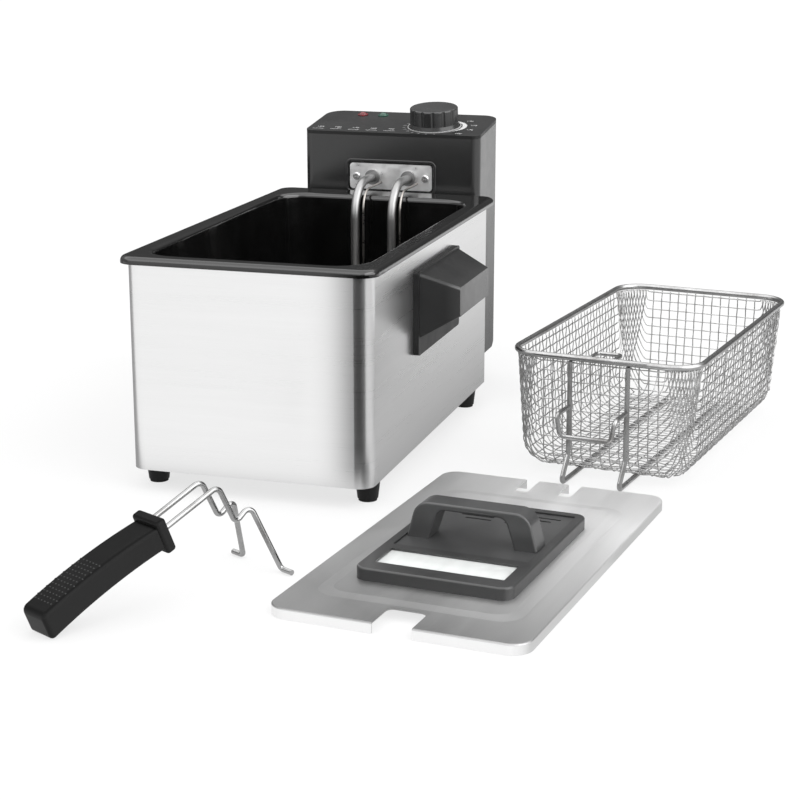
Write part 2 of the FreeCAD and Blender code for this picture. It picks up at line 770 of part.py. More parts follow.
def oil_tank():
    rim = slab(-RIM_SIDE, RIM_SIDE, RIM_FRONT, RIM_BACK, RIM_BOTTOM, RIM_TOP, RIM_CORNER_R)
    rim = rim.makeFillet(RIM_EDGE_R, level_edges(rim, RIM_TOP))
    side = RIM_SIDE - TANK_WALL
    under_top = RIM_TOP - TANK_WALL
    under = slab(-side, side, RIM_FRONT + TANK_WALL, RIM_BACK - TANK_WALL, RIM_BOTTOM - PAST, under_top,
                 RIM_CORNER_R - TANK_WALL)
    under = under.makeFillet(RIM_EDGE_R - TANK_WALL, level_edges(under, under_top))
    tub = tank_hollow(TANK_WALL, TANK_FLOOR - TANK_WALL, under_top)
    body = rim.cut(under).fuse(tub)
    body = body.cut(tank_hollow(0, TANK_FLOOR, RIM_TOP)).removeSplitter()
    below = [edge for edge in level_edges(body, under_top) if around_opening(edge)]
    body = body.makeFillet(RIM_INNER_R - TANK_WALL, below)
    above = [edge for edge in level_edges(body, RIM_TOP) if around_opening(edge)]
    return body.makeFillet(RIM_INNER_R, above)


# Control head

def head_profile(inset):
    """Side outline of the head, set in all round by the wall."""
    front = HEAD_FRONT + inset
    back = HEAD_BACK - inset
    bottom = HEAD_BOTTOM + inset
    lift = inset / math.cos(SLOPE)
    top_front = HEAD_TOP + (front - HEAD_FRONT) * math.tan(SLOPE) - lift
    top_back = HEAD_TOP + (back - HEAD_FRONT) * math.tan(SLOPE) - lift
    half_turn = math.atan2(HEAD_CHAMFER_Z, HEAD_CHAMFER_Y) / 2
    steep_turn = (math.pi / 2 - 2 * half_turn) / 2
    chamfer_y = HEAD_CHAMFER_Y - inset + inset * math.tan(half_turn)
    chamfer_z = HEAD_CHAMFER_Z - inset + inset * math.tan(steep_turn)
    return [(front, bottom), (back - chamfer_y, bottom), (back, bottom + chamfer_z), (back, top_back),
            (front, top_front)]


def head_block(inset):
    side = HEAD_SIDE - inset
    points = [Vector(-side, y, z) for y, z in head_profile(inset)]
    body = extruded(points, Vector(side * 2, 0, 0))
    front_r = HEAD_FRONT_R - inset
    back_r = HEAD_BACK_R - inset
    body = body.makeFillet(front_r, upright_edges(body, HEAD_FRONT + inset))
    return body.makeFillet(back_r, upright_edges(body, HEAD_BACK - inset))


def head_shells():
    """The hollow box, cut into the panel on top, the front shell and the rear cover."""
    outer = head_block(0)
    span = HEAD_SIDE + PAST
    cap = block(-span, span, -HEAD_D, HEAD_D * 2, -PANEL_T, HEAD_D)
    cap.Placement = PANEL_PLACE
    panel = outer.common(cap)
    hollow = outer.cut(cap).cut(head_block(HEAD_WALL))
    front = hollow.common(block(-span, span, HEAD_FRONT, SPLIT_Y, 0, HEAD_TOP * 2))
    rear = hollow.common(block(-span, span, SPLIT_Y, HEAD_BACK, 0, HEAD_TOP * 2))
    return panel, front, rear


def cover_screw_places():
    heights = (HEAD_BOTTOM + COVER_SCREW_LOW, HEAD_BOTTOM + COVER_SCREW_HIGH)
    return [(side * COVER_SCREW_X, z) for side in (-1, 1) for z in heights]


def control_panel(panel):
    def drilled(shape, x, y, radius):
        hole = rod(Vector(x, y, -PANEL_T * 2), Z_AXIS, radius, PANEL_T * 3)
        hole.Placement = PANEL_PLACE
        return shape.cut(hole)
    panel = drilled(panel, KNOB_X, KNOB_PANEL_Y, SHAFT_R + SHAFT_PANEL_PLAY)
    for x in (RED_LAMP_X, GREEN_LAMP_X):
        panel = drilled(panel, x, LAMP_PANEL_Y, LAMP_R + BORE_PLAY)
    return panel


def recess_frame():
    """Pocket for the element plate with a bevelled frame round it."""
    half = PLATE_W / 2 + PLATE_FRAME
    top = PLATE_BOTTOM + PLATE_H + PLATE_FRAME
    bottom = PLATE_BOTTOM - PLATE_FRAME / 2
    deep = HEAD_FRONT + PLATE_T
    wide = Part.makePolygon([Vector(x, HEAD_FRONT, z) for x, z in
                             ((-half, bottom), (half, bottom), (half, top), (-half, top), (-half, bottom))])
    inner = half - PLATE_FRAME / 2
    inner_top = top - PLATE_FRAME / 2
    narrow = Part.makePolygon([Vector(x, deep, z) for x, z in
                               ((-inner, bottom), (inner, bottom), (inner, inner_top), (-inner, inner_top),
                                (-inner, bottom))])
    return Part.makeLoft([wide, narrow], True, True)


def plate_bezel():
    """Raised bead round the pocket, rounded in front; its root lies in the head's front wall."""
    inner = PLATE_W / 2 + PLATE_FRAME
    low = PLATE_BOTTOM - PLATE_FRAME
    high = PLATE_BOTTOM + PLATE_H + PLATE_FRAME
    outer = inner + BEZEL_W
    bead = slab(-outer, outer, low - BEZEL_W, high + BEZEL_W, -HEAD_WALL / 2, BEZEL_PROUD, BEZEL_R)
    bead = bead.cut(slab(-inner, inner, low, high, -HEAD_WALL, BEZEL_PROUD + PAST, BEZEL_R - BEZEL_W))
    bead = bead.makeFillet(BEZEL_EDGE_R, level_edges(bead, BEZEL_PROUD))
    bead.Placement = Placement(Vector(0, HEAD_FRONT, 0), Rotation(X_AXIS, 90))
    return bead


def plate_holes(side, depth):
    """Holes for one end of the element, its feeler's thin tube and a screw, from the head's front inwards."""
    places = ((side * TUBE_X, TUBE_Z, TUBE_R + TUBE_HOLE_PLAY),
              (side * TUBE_X + FEELER_OFFSET, CAPILLARY_Z, CAPILLARY_R + TUBE_HOLE_PLAY),
              (side * PLATE_SCREW_SPACING / 2, TUBE_Z, SCREW_R + SCREW_HOLE_PLAY))
    holes = [rod(Vector(x, HEAD_FRONT, z), Y_AXIS, radius, depth) for x, z, radius in places]
    return holes[0].fuse(holes[1:])


def head_front_shell(front):
    front = front.fuse(plate_bezel()).cut(recess_frame())
    for side in (-1, 1):
        front = front.cut(guide_slot(side * RAIL_SPACING / 2))
    for x, z in cover_screw_places():
        boss = rod(Vector(x, HEAD_FRONT + HEAD_WALL, z), Y_AXIS, COVER_BOSS_R, HEAD_SPLIT - HEAD_WALL)
        bore = rod(Vector(x, HEAD_FRONT + HEAD_WALL * 2, z), Y_AXIS, SCREW_R + BORE_PLAY, HEAD_SPLIT)
        front = front.fuse(boss).cut(bore)
    for side in (-1, 1):
        front = front.cut(plate_holes(side, HEAD_WALL))
    half = PEG_W / 2 + PEG_NOTCH_PLAY
    notch_top = HEAD_BOTTOM + PEG_RISE + PEG_H + PEG_NOTCH_PLAY
    notch = block(-half, half, HEAD_FRONT - PAST, PANEL_FACE + PEG_REACH + PEG_NOTCH_PLAY, 0, notch_top)
    return front.cut(notch).removeSplitter()


def head_rear_cover(rear):
    for x, z in cover_screw_places():
        boss = rod(Vector(x, SPLIT_Y, z), Y_AXIS, COVER_BOSS_R, HEAD_D - HEAD_SPLIT - HEAD_WALL)
        bore = rod(Vector(x, SPLIT_Y - PAST, z), Y_AXIS, SCREW_R + SCREW_HOLE_PLAY, HEAD_D)
        rear = rear.fuse(boss).cut(bore)
    button_hole = rod(Vector(cutout_x(), SPLIT_Y, CAPILLARY_Z), Y_AXIS, BUTTON_R + BUTTON_PLAY, HEAD_D)
    gland_hole = rod(Vector(GLAND_X, SPLIT_Y, GLAND_Z), Y_AXIS, GLAND_BORE_R, HEAD_D)
    return rear.cut(button_hole).cut(gland_hole).removeSplitter()


def cover_screws():
    length = HEAD_D - HEAD_WALL * 4
    return [screw(Vector(x, HEAD_BACK, z), Y_AXIS * -1, SCREW_R, length, SCREW_HEAD_R, SCREW_HEAD_H)
            for x, z in cover_screw_places()]


# Heating element

def element_plate():
    half = PLATE_W / 2
    plate = block(-half, half, HEAD_FRONT, HEAD_FRONT + PLATE_T, PLATE_BOTTOM, PLATE_BOTTOM + PLATE_H)
    plate = plate.makeFillet(PLATE_R, edges_where(plate, lambda e: abs(e.BoundBox.YLength - PLATE_T) < SAME))
    for side in (-1, 1):
        plate = plate.cut(plate_holes(side, PLATE_T))
    return plate


def plate_screws():
    length = PLATE_T + HEAD_WALL * 2
    places = [Vector(side * PLATE_SCREW_SPACING / 2, HEAD_FRONT, TUBE_Z) for side in (-1, 1)]
    return [screw(place, Y_AXIS, SCREW_R, length, SCREW_HEAD_R, SCREW_HEAD_H) for place in places]


def plate_nuts():
    places = [Vector(side * PLATE_SCREW_SPACING / 2, HEAD_FRONT + HEAD_WALL, TUBE_Z) for side in (-1, 1)]
    return [nut(place, Y_AXIS) for place in places]


def element_collars():
    collars = []
    for side in (-1, 1):
        start = Vector(side * TUBE_X, HEAD_FRONT - COLLAR_T, TUBE_Z)
        bore = rod(start, Y_AXIS, TUBE_R + BORE_PLAY, COLLAR_T)
        collars.append(rod(start, Y_AXIS, COLLAR_R, COLLAR_T).cut(bore))
    return collars


def heating_element():
    front = OPENING_FRONT + TANK_TAPER + ELEMENT_FRONT_GAP
    spread = RISER_Y - ELEMENT_SPREAD_Y
    rear = RISER_Y - ELEMENT_REAR_TURN
    flat = [(TUBE_X, RISER_Y), (TUBE_X, spread), (ELEMENT_OUTER_X, spread), (ELEMENT_OUTER_X, front),
            (ELEMENT_INNER_X, front), (ELEMENT_INNER_X, rear)]
    half = [(TUBE_X, HEAD_FRONT + TUBE_IN_HEAD, TUBE_Z), (TUBE_X, RISER_Y, TUBE_Z)]
    half += [(x, y, ELEMENT_Z) for x, y in flat]
    front_r = (ELEMENT_OUTER_X - ELEMENT_INNER_X) / 2 * U_BEND_SHARE
    rear_r = ELEMENT_INNER_X * U_BEND_SHARE
    bends = [TUBE_BEND_R, TUBE_FOOT_BEND_R, ELEMENT_BEND_R, ELEMENT_BEND_R, front_r, front_r, rear_r]
    left = [(-x, y, z) for x, y, z in half]
    body = tube(left + half[::-1], bends + bends[::-1], TUBE_R)
    for side in (-1, 1):
        body = body.fuse(rod(Vector(side * TUBE_X, HEAD_FRONT + TUBE_IN_HEAD, TUBE_Z), Y_AXIS, PIN_R, PIN_L))
    return body.removeSplitter()


# Temperature feelers

def feeler_xs():
    return [side * TUBE_X + FEELER_OFFSET for side in (-1, 1)]


def feeler_bottom():
    return ELEMENT_Z + FEELER_RISE


def feelers():
    bulbs = []
    for x in feeler_xs():
        body = rod(Vector(x, RISER_Y, feeler_bottom()), Z_AXIS, FEELER_R, FEELER_L)
        bulbs.append(body.makeFillet(FEELER_TIP_R, level_edges(body, feeler_bottom())))
    return bulbs


def cutout_x():
    return -TUBE_X + FEELER_OFFSET


def cutout_front():
    return COVER_INSIDE - CUTOUT_L


def thermostat_bottom():
    """Height under the thermostat where its thin tube comes up, in the middle of its lower face."""
    return PANEL_PLACE.multVec(Vector(KNOB_X, KNOB_PANEL_Y, -PANEL_T - THERMOSTAT_H))


def capillaries():
    top = feeler_bottom() + FEELER_L
    left_x, right_x = feeler_xs()
    left = [(left_x, RISER_Y, top), (left_x, RISER_Y, CAPILLARY_Z), (left_x, cutout_front(), CAPILLARY_Z)]
    under = thermostat_bottom()
    right = [(right_x, RISER_Y, top), (right_x, RISER_Y, CAPILLARY_Z), (right_x, under.y, CAPILLARY_Z),
             (right_x, under.y, under.z - CAPILLARY_R * math.tan(SLOPE) - BORE_PLAY)]
    return [tube(left, [CAPILLARY_BEND_R], CAPILLARY_R),
            tube(right, [CAPILLARY_BEND_R, CAPILLARY_TURN_R], CAPILLARY_R)]


def bulb_clips():
    clips = []
    for side, x in zip((-1, 1), feeler_xs()):
        riser_x = side * TUBE_X
        for z in (feeler_bottom() + CLIP_INSET, feeler_bottom() + FEELER_L - CLIP_INSET - CLIP_H):
            riser = Vector(riser_x, RISER_Y, z)
            bulb = Vector(x, RISER_Y, z)
            round_bulb = rod(bulb, Z_AXIS, FEELER_R + CLIP_T, CLIP_H)
            band = rod(riser, Z_AXIS, TUBE_R + CLIP_T, CLIP_H).fuse(round_bulb)
            neck = block(riser_x, x, RISER_Y - FEELER_R, RISER_Y + FEELER_R, z, z + CLIP_H)
            band = band.fuse(neck).cut(rod(riser, Z_AXIS, TUBE_R + CLIP_FIT, CLIP_H))
            clips.append(band.cut(rod(bulb, Z_AXIS, FEELER_R + CLIP_FIT, CLIP_H)).removeSplitter())
    return clips


# Knob, shaft, thermostat and lamps, drawn in the panel's own frame

def thermostat_body():
    body = block(KNOB_X - THERMOSTAT_W / 2, KNOB_X + THERMOSTAT_W / 2, KNOB_PANEL_Y - THERMOSTAT_D / 2,
                 KNOB_PANEL_Y + THERMOSTAT_D / 2, -PANEL_T - THERMOSTAT_H, -PANEL_T)
    body = body.makeFillet(HEAD_WALL, edges_where(body, lambda e: e.BoundBox.ZLength > THERMOSTAT_H / 2))
    deep = SHAFT_IN_BODY + SHAFT_FIT
    bore = rod(Vector(KNOB_X, KNOB_PANEL_Y, -PANEL_T - deep), Z_AXIS, SHAFT_R + SHAFT_FIT, deep)
    return body.cut(bore)


def thermostat_shaft():
    length = SHAFT_IN_BODY + PANEL_T + KNOB_GAP + SHAFT_IN_KNOB
    return rod(Vector(KNOB_X, KNOB_PANEL_Y, -PANEL_T - SHAFT_IN_BODY), Z_AXIS, SHAFT_R, length)


def thermostat_knob():
    base = Vector(KNOB_X, KNOB_PANEL_Y, KNOB_GAP)
    grip = rod(base, Z_AXIS, KNOB_R, KNOB_H)
    grip = grip.makeFillet(KNOB_EDGE_R, level_edges(grip, KNOB_GAP + KNOB_H))
    reach = KNOB_R + KNOB_FLUTE_R - KNOB_FLUTE_DEPTH
    for step in range(KNOB_FLUTES):
        angle = 2 * math.pi * step / KNOB_FLUTES
        centre = base + Vector(reach * math.cos(angle), reach * math.sin(angle), KNOB_SKIRT_H)
        grip = grip.cut(rod(centre, Z_AXIS, KNOB_FLUTE_R, KNOB_H))
    skirt = Part.makeCone(KNOB_SKIRT_R, KNOB_R, KNOB_SKIRT_H, base, Z_AXIS)
    return grip.fuse(skirt).cut(rod(base, Z_AXIS, SHAFT_R + BORE_PLAY, SHAFT_IN_KNOB)).removeSplitter()


def dial_ring():
    centre = Vector(KNOB_X, KNOB_PANEL_Y, 0)
    disc = rod(centre, Z_AXIS, DIAL_RING_R, DIAL_RING_T)
    return disc.cut(rod(centre, Z_AXIS, DIAL_RING_R - DIAL_RING_W, DIAL_RING_T))


def lamp(x):
    centre = Vector(x, LAMP_PANEL_Y, 0)
    flange = rod(centre, Z_AXIS, LAMP_FLANGE_R, LAMP_FLANGE_T)
    rise = LAMP_DOME_H
    radius = (LAMP_R ** 2 + rise ** 2) / (2 * rise)
    ball = Part.makeSphere(radius, centre + Z_AXIS * (LAMP_FLANGE_T + rise - radius))
    dome = ball.common(rod(centre + Z_AXIS * LAMP_FLANGE_T, Z_AXIS, LAMP_R, rise * 2))
    body = rod(centre - Z_AXIS * (PANEL_T + LAMP_BODY_L), Z_AXIS, LAMP_R, PANEL_T + LAMP_BODY_L)
    return flange.fuse([dome, body]).removeSplitter()


# Pieces on the rear cover and the safety switch

def thermal_cutout():
    centre = Vector(cutout_x(), cutout_front(), CAPILLARY_Z)
    body = rod(centre, Y_AXIS, CUTOUT_R, CUTOUT_L)
    deep = BUTTON_IN - HEAD_WALL + BUTTON_TRAVEL + BUTTON_PLAY
    inner_end = Vector(cutout_x(), COVER_INSIDE - deep, CAPILLARY_Z)
    bore = rod(inner_end, Y_AXIS, BUTTON_R + BUTTON_BORE_PLAY, deep)
    return body.cut(bore)


def reset_button():
    start = Vector(cutout_x(), HEAD_BACK - BUTTON_IN, CAPILLARY_Z)
    body = rod(start, Y_AXIS, BUTTON_R, BUTTON_IN + BUTTON_PROUD)
    face = HEAD_BACK + BUTTON_PROUD
    rounded = edges_where(body, lambda e: abs(e.BoundBox.YMin - face) < SAME)
    return body.makeFillet(BUTTON_EDGE_R, rounded)


def terminal_block():
    face = COVER_INSIDE - TERMINAL_D
    middle = TERMINAL_Z + TERMINAL_H / 2
    body = block(-TERMINAL_W / 2, TERMINAL_W / 2, face, COVER_INSIDE, TERMINAL_Z, TERMINAL_Z + TERMINAL_H)
    pitch = TERMINAL_W / TERMINAL_POLES
    for pole in range(TERMINAL_POLES):
        x = (pole + 0.5) * pitch - TERMINAL_W / 2
        for z in (middle - TERMINAL_HOLE_RISE, middle + TERMINAL_HOLE_RISE):
            body = body.cut(rod(Vector(x, face, z), Y_AXIS, TERMINAL_HOLE_R, TERMINAL_HOLE_DEPTH))
    return body


def cord_gland():
    base = Vector(GLAND_X, HEAD_BACK, GLAND_Z)
    body = rod(base, Y_AXIS, GLAND_FLANGE_R, GLAND_FLANGE_T)
    root = base + Y_AXIS * GLAND_FLANGE_T
    nozzle = Part.makeCone(GLAND_R, GLAND_TIP_R, GLAND_L - GLAND_FLANGE_T, root, Y_AXIS)
    return body.fuse(nozzle).cut(rod(base, Y_AXIS, GLAND_BORE_R, GLAND_L)).removeSplitter()


def interlock_switch():
    low = HEAD_BOTTOM + PEG_RISE + PEG_H + SWITCH_GAP
    body_low = low + SWITCH_PLUNGER_H
    inside = HEAD_FRONT + HEAD_WALL
    body = block(-SWITCH_W / 2, SWITCH_W / 2, inside, inside + SWITCH_D, body_low, body_low + SWITCH_H)
    foot = Vector(0, inside + PEG_NOTCH_PLAY + SWITCH_PLUNGER_R, low)
    return body.fuse(rod(foot, Z_AXIS, SWITCH_PLUNGER_R, SWITCH_PLUNGER_H)).removeSplitter()


# Lid, drawn about its own middle and laid down last

def frame_span():
    """Front and back edge of the black frame."""
    return FRAME_BACK_SHIFT - FRAME_L / 2, FRAME_BACK_SHIFT + FRAME_L / 2


def plateau_span(ramp):
    """Side, front and back of the raised middle; ramp widens it to its foot."""
    side = LID_W / 2 - PLATEAU_INSET_X - PLATEAU_RAMP + ramp
    front = -LID_L / 2 + PLATEAU_INSET_FRONT + PLATEAU_RAMP - ramp
    back = LID_L / 2 - PLATEAU_INSET_BACK - PLATEAU_RAMP + ramp
    return side, front, back


def plateau(base, top):
    low_side, low_front, low_back = plateau_span(PLATEAU_RAMP)
    side, front, back = plateau_span(0)
    return Part.makeLoft([outline(-low_side, low_side, low_front, low_back, base, PLATEAU_R),
                          outline(-side, side, front, back, top, PLATEAU_R - PLATEAU_RAMP / 2)], True, True)


def window_span(grow):
    front = frame_span()[0] + WINDOW_FRONT_BAR
    return -WINDOW_W / 2 - grow, WINDOW_W / 2 + grow, front - grow, front + WINDOW_L + grow


def cover_span(inset):
    back = frame_span()[1] - COVER_BACK_BAR
    half = COVER_W / 2 - inset
    return -half, half, back - COVER_L + inset, back - inset


def filter_span(inset):
    back = cover_span(0)[3] - FILTER_BACK_GAP
    half = FILTER_W / 2 - inset
    return -half, half, back - FILTER_L + inset, back - inset


def lid_plate():
    half_w = LID_W / 2
    half_l = LID_L / 2
    top = LID_H + PLATEAU_RISE
    tray = slab(-half_w, half_w, -half_l, half_l, 0, LID_H, LID_CORNER_R)
    tray = tray.makeFillet(LID_EDGE_R, level_edges(tray, LID_H)).fuse(plateau(LID_H, top))
    in_w = half_w - LID_SHEET
    in_l = half_l - LID_SHEET
    under = LID_H - LID_SHEET
    hollow = slab(-in_w, in_w, -in_l, in_l, -PAST, under, LID_CORNER_R - LID_SHEET)
    plate = tray.cut(hollow.fuse(plateau(under, top - LID_SHEET)))
    notch_r = (0, 0, NOTCH_R, NOTCH_R)
    plate = plate.cut(slab(-NOTCH_W / 2, NOTCH_W / 2, -half_l - PAST, -half_l + NOTCH_D, -PAST,
                           LID_H + PAST, notch_r))
    slot_half = TUBE_R + LID_SLOT_PLAY
    slot_r = (LID_SLOT_R, LID_SLOT_R, 0, 0)
    for x in (-TUBE_X, TUBE_X):
        plate = plate.cut(slab(x - slot_half, x + slot_half, half_l - LID_SLOT_L, half_l + PAST,
                               -PAST, LID_H + PAST, slot_r))
    for x0, x1, y0, y1 in (window_span(0), filter_span(FILTER_LAP)):
        plate = plate.cut(block(x0, x1, y0, y1, 0, top + PAST))
    for x, y in lid_screw_places():
        plate = plate.cut(rod(Vector(x, y, 0), Z_AXIS, LID_SCREW_R + SCREW_HOLE_PLAY, top + PAST))
    return plate.removeSplitter()


def lid_screw_places():
    front, back = frame_span()
    x = FRAME_W / 2 - LID_SCREW_SIDE
    return [(side * x, y) for side in (-1, 1) for y in (front + LID_SCREW_INSET, back - LID_SCREW_BACK)]


def lid_frame():
    front, back = frame_span()
    base = LID_H + PLATEAU_RISE
    top = base + FRAME_H
    body = slab(-FRAME_W / 2, FRAME_W / 2, front, back, base, top, FRAME_CORNER_R)
    body = body.makeFillet(FRAME_EDGE_R, level_edges(body, top))
    body = body.cut(block(*window_span(0), base, top + PAST))
    body = body.cut(block(*window_span(GLASS_LAP + SEAL_W), base, glass_levels()[1]))
    body = body.cut(block(*cover_span(0), base, top + PAST))
    for x, y in lid_screw_places():
        body = body.cut(rod(Vector(x, y, base), Z_AXIS, LID_SCREW_R + BORE_PLAY, LID_SCREW_GRIP + LID_SHEET))
    return body.removeSplitter()


def glass_levels():
    """The pane lies close under the frame's top."""
    top = LID_H + PLATEAU_RISE + FRAME_H - WINDOW_SINK
    return top - GLASS_T, top


def window_glass():
    return block(*window_span(GLASS_LAP), *glass_levels())


def window_seal():
    """Gasket that stands on the lid plate and presses the pane up against the frame."""
    low, high = glass_levels()
    base = LID_H + PLATEAU_RISE
    ring = block(*window_span(GLASS_LAP + SEAL_W), base, high)
    return ring.cut(window_glass()).cut(block(*window_span(0), base, low))


def cover_levels():
    top = LID_H + PLATEAU_RISE + FRAME_H - COVER_SINK
    return top - COVER_T, top


def filter_cover():
    low, high = cover_levels()
    base = LID_H + PLATEAU_RISE
    x0, x1, y0, y1 = cover_span(COVER_FIT)
    cover = block(x0, x1, y0, y1, low, high)
    skirt = block(x0, x1, y0, y1, base, low).cut(block(*cover_span(COVER_FIT + COVER_SKIRT), base, low))
    cover = cover.fuse(skirt)
    for row in range(VENT_ROWS):
        y = y1 - VENT_BACK_GAP - row * VENT_PITCH
        outer = VENT_OUTER_X - row * VENT_STEP
        for side in (-1, 1):
            ends = sorted((side * VENT_BREAK, side * outer))
            cover = cover.cut(slab(ends[0], ends[1], y - VENT_W / 2, y + VENT_W / 2, low - PAST,
                                   high + PAST, VENT_R))
    return cover.removeSplitter()


def grease_filter():
    base = LID_H + PLATEAU_RISE
    return block(*filter_span(0), base, cover_levels()[0])


def lid_handle():
    high = cover_levels()[1]
    y0 = cover_span(0)[2] + ARCH_FRONT_GAP
    crown = high + ARCH_H

    def arch_wire(inset_x, drop, foot):
        half = ARCH_W / 2 - inset_x
        top_half = ARCH_TOP_W / 2 - inset_x
        top = crown - drop
        return [(-half, y0, foot), (-top_half, y0, top), (top_half, y0, top), (half, y0, foot)]

    def solid(points, radius):
        path = bent_path(points, [radius, radius])
        closing = Part.LineSegment(Vector(*points[-1]), Vector(*points[0])).toShape()
        return Part.Face(Part.Wire(path.Edges + [closing])).extrude(Y_AXIS * ARCH_DEPTH)

    arch = solid(arch_wire(0, 0, high), ARCH_CORNER_R)
    arch = arch.cut(solid(arch_wire(ARCH_LEG, ARCH_BAND, high), ARCH_INNER_R))
    edges_above_foot = edges_where(arch, lambda e: e.BoundBox.ZMax > high + ARCH_EDGE_R)
    long_edges = [e for e in edges_above_foot if e.BoundBox.YLength < SAME]
    return arch.makeFillet(ARCH_EDGE_R, long_edges)


def lid_screws():
    seat = LID_H + PLATEAU_RISE - LID_SHEET
    return [screw(Vector(x, y, seat), Z_AXIS, LID_SCREW_R, LID_SHEET + LID_SCREW_GRIP, LID_SCREW_HEAD_R,
                  LID_SCREW_HEAD_H) for x, y in lid_screw_places()]


# Basket, drawn about its own middle

def rim_centre_z():
    return BASKET_H - RIM_WIRE_R


def basket_rim():
    half_w = BASKET_W / 2 - RIM_WIRE_R
    half_l = BASKET_L / 2 - RIM_WIRE_R
    z = rim_centre_z()
    bend = BASKET_R - RIM_WIRE_R
    corners = [(-half_w, -half_l, z), (half_w, -half_l, z), (half_w, half_l, z), (-half_w, half_l, z)]
    return tube(corners, [bend] * 4, RIM_WIRE_R, closed=True)


def basket_tub(inset, floor):
    """Tub of the mesh; it hangs under the rim wire and narrows downwards."""
    top = rim_centre_z() - RIM_WIRE_R - WIRE_TOUCH
    side = BASKET_W / 2 - RIM_WIRE_R - inset
    end = BASKET_L / 2 - RIM_WIRE_R - inset
    radius = BASKET_R - RIM_WIRE_R - inset
    wide = outline(-side, side, -end, end, top, radius)
    low_side = side - BASKET_TAPER
    low_end = end - BASKET_TAPER
    narrow = outline(-low_side, low_side, -low_end, low_end, floor, radius - BASKET_TAPER / 2)
    tub = Part.makeLoft([narrow, wide], True, True)
    return tub.makeFillet(BASKET_FLOOR_R - inset, level_edges(tub, floor))


def basket_floor():
    return SUPPORT_WIRE_R * 2 + WIRE_TOUCH


def openings_between(start, stop, count):
    """Ends of each of a row of equal openings with a bar between them."""
    pitch = (stop - start) / count
    return [(start + step * pitch + MESH_BAR / 2, start + (step + 1) * pitch - MESH_BAR / 2)
            for step in range(count)]


def mesh_openings():
    """Plain grid of openings through the flat stretches of the walls and the floor."""
    low = basket_floor()
    side = BASKET_W / 2 - RIM_WIRE_R
    end = BASKET_L / 2 - RIM_WIRE_R
    depth = BASKET_TAPER + BASKET_WALL * 2
    across = openings_between(BASKET_R - BASKET_W / 2, BASKET_W / 2 - BASKET_R, MESH_ACROSS)
    along = openings_between(BASKET_R - BASKET_L / 2, BASKET_L / 2 - BASKET_R, MESH_ALONG)
    up = openings_between(low + BASKET_FLOOR_R, rim_centre_z() - RIM_WIRE_R - WIRE_TOUCH, MESH_UP)
    holes = []
    for z0, z1 in up:
        for y0, y1 in along:
            holes.append(block(side - depth, side + PAST, y0, y1, z0, z1))
            holes.append(block(-side - PAST, depth - side, y0, y1, z0, z1))
        for x0, x1 in across:
            holes.append(block(x0, x1, end - depth, end + PAST, z0, z1))
            holes.append(block(x0, x1, -end - PAST, depth - end, z0, z1))
    floor_x = side - BASKET_TAPER - BASKET_FLOOR_R
    floor_y = end - BASKET_TAPER - BASKET_FLOOR_R
    for x0, x1 in openings_between(-floor_x, floor_x, MESH_ACROSS):
        for y0, y1 in openings_between(-floor_y, floor_y, MESH_ALONG):
            holes.append(block(x0, x1, y0, y1, low - PAST, low + BASKET_WALL + PAST))
    return holes


def basket_mesh():
    low = basket_floor()
    shell = basket_tub(0, low).cut(basket_tub(BASKET_WALL, low + BASKET_WALL))
    return shell.cut(mesh_openings())


def front_wire_y():
    """The upright wires stand under the rim wire, in front of the mesh."""
    return -BASKET_L / 2 + RIM_WIRE_R - SUPPORT_WIRE_R - WIRE_TOUCH


def support_wires():
    y = front_wire_y()
    top = rim_centre_z() - RIM_WIRE_R - WIRE_TOUCH
    wires = []
    for side in (-1, 1):
        x = side * SUPPORT_SPACING / 2
        points = [(x, y, top), (x, y, SUPPORT_KNEE_H), (x, y - SUPPORT_FOOT_REACH, SUPPORT_WIRE_R),
                  (x, BASKET_L / 2 - SUPPORT_BACK_GAP, SUPPORT_WIRE_R)]
        wires.append(tube(points, [SUPPORT_BEND_R, SUPPORT_TOE_R], SUPPORT_WIRE_R))
    return wires


def front_hook():
    y = front_wire_y() - SUPPORT_WIRE_R - WIRE_TOUCH
    root = SUPPORT_SPACING / 2
    tip = HOOK_BAR_W / 2
    low = HOOK_HEIGHT - HOOK_DROP
    half = [(root, y, HOOK_HEIGHT), (root, y - HOOK_REACH, HOOK_HEIGHT), (tip, y - HOOK_REACH, low)]
    left = [(-x, b, z) for x, b, z in half]
    return tube(left + half[::-1], [HOOK_BEND_R] * 4, HOOK_WIRE_R)


def handle_catch():
    y = -BASKET_L / 2 + RIM_WIRE_R * 2 + CATCH_WIRE_R + WIRE_TOUCH
    z = rim_centre_z()
    loop = CATCH_LOOP_W / 2
    half = [(CATCH_W / 2, y, z), (loop, y, z), (loop, y + CATCH_LOOP_L, z)]
    left = [(-x, b, h) for x, b, h in half]
    return tube(left + half[::-1], [CATCH_BEND_R] * 4, CATCH_WIRE_R)


# Basket handle, drawn along X with its wire tips at the origin

def handle_wires(radius):
    wires = []
    for side in (-1, 1):
        y = side * HANDLE_WIRE_SPACING / 2
        knee = side * KNEE_SPREAD / 2
        start = WIRE_ENTRY_H - WIRE_IN_GRIP * WIRE_SLOPE
        points = [(-GRIP_FRONT - WIRE_IN_GRIP, y, start), (-PEAK_BACK, y, PEAK_H),
                  (-VALLEY_BACK, y, VALLEY_H), (-SECOND_PEAK_BACK, y, SECOND_PEAK_H),
                  (0, knee, HANDLE_WIRE_R), (0, knee + side * TIP_LENGTH, HANDLE_WIRE_R)]
        wires.append(tube(points, [PEAK_R, VALLEY_R, SECOND_PEAK_R, KNEE_R], radius))
    return wires


def bored_for_wires(body):
    for wire in handle_wires(HANDLE_WIRE_R + BORE_PLAY):
        body = body.cut(wire)
    return body


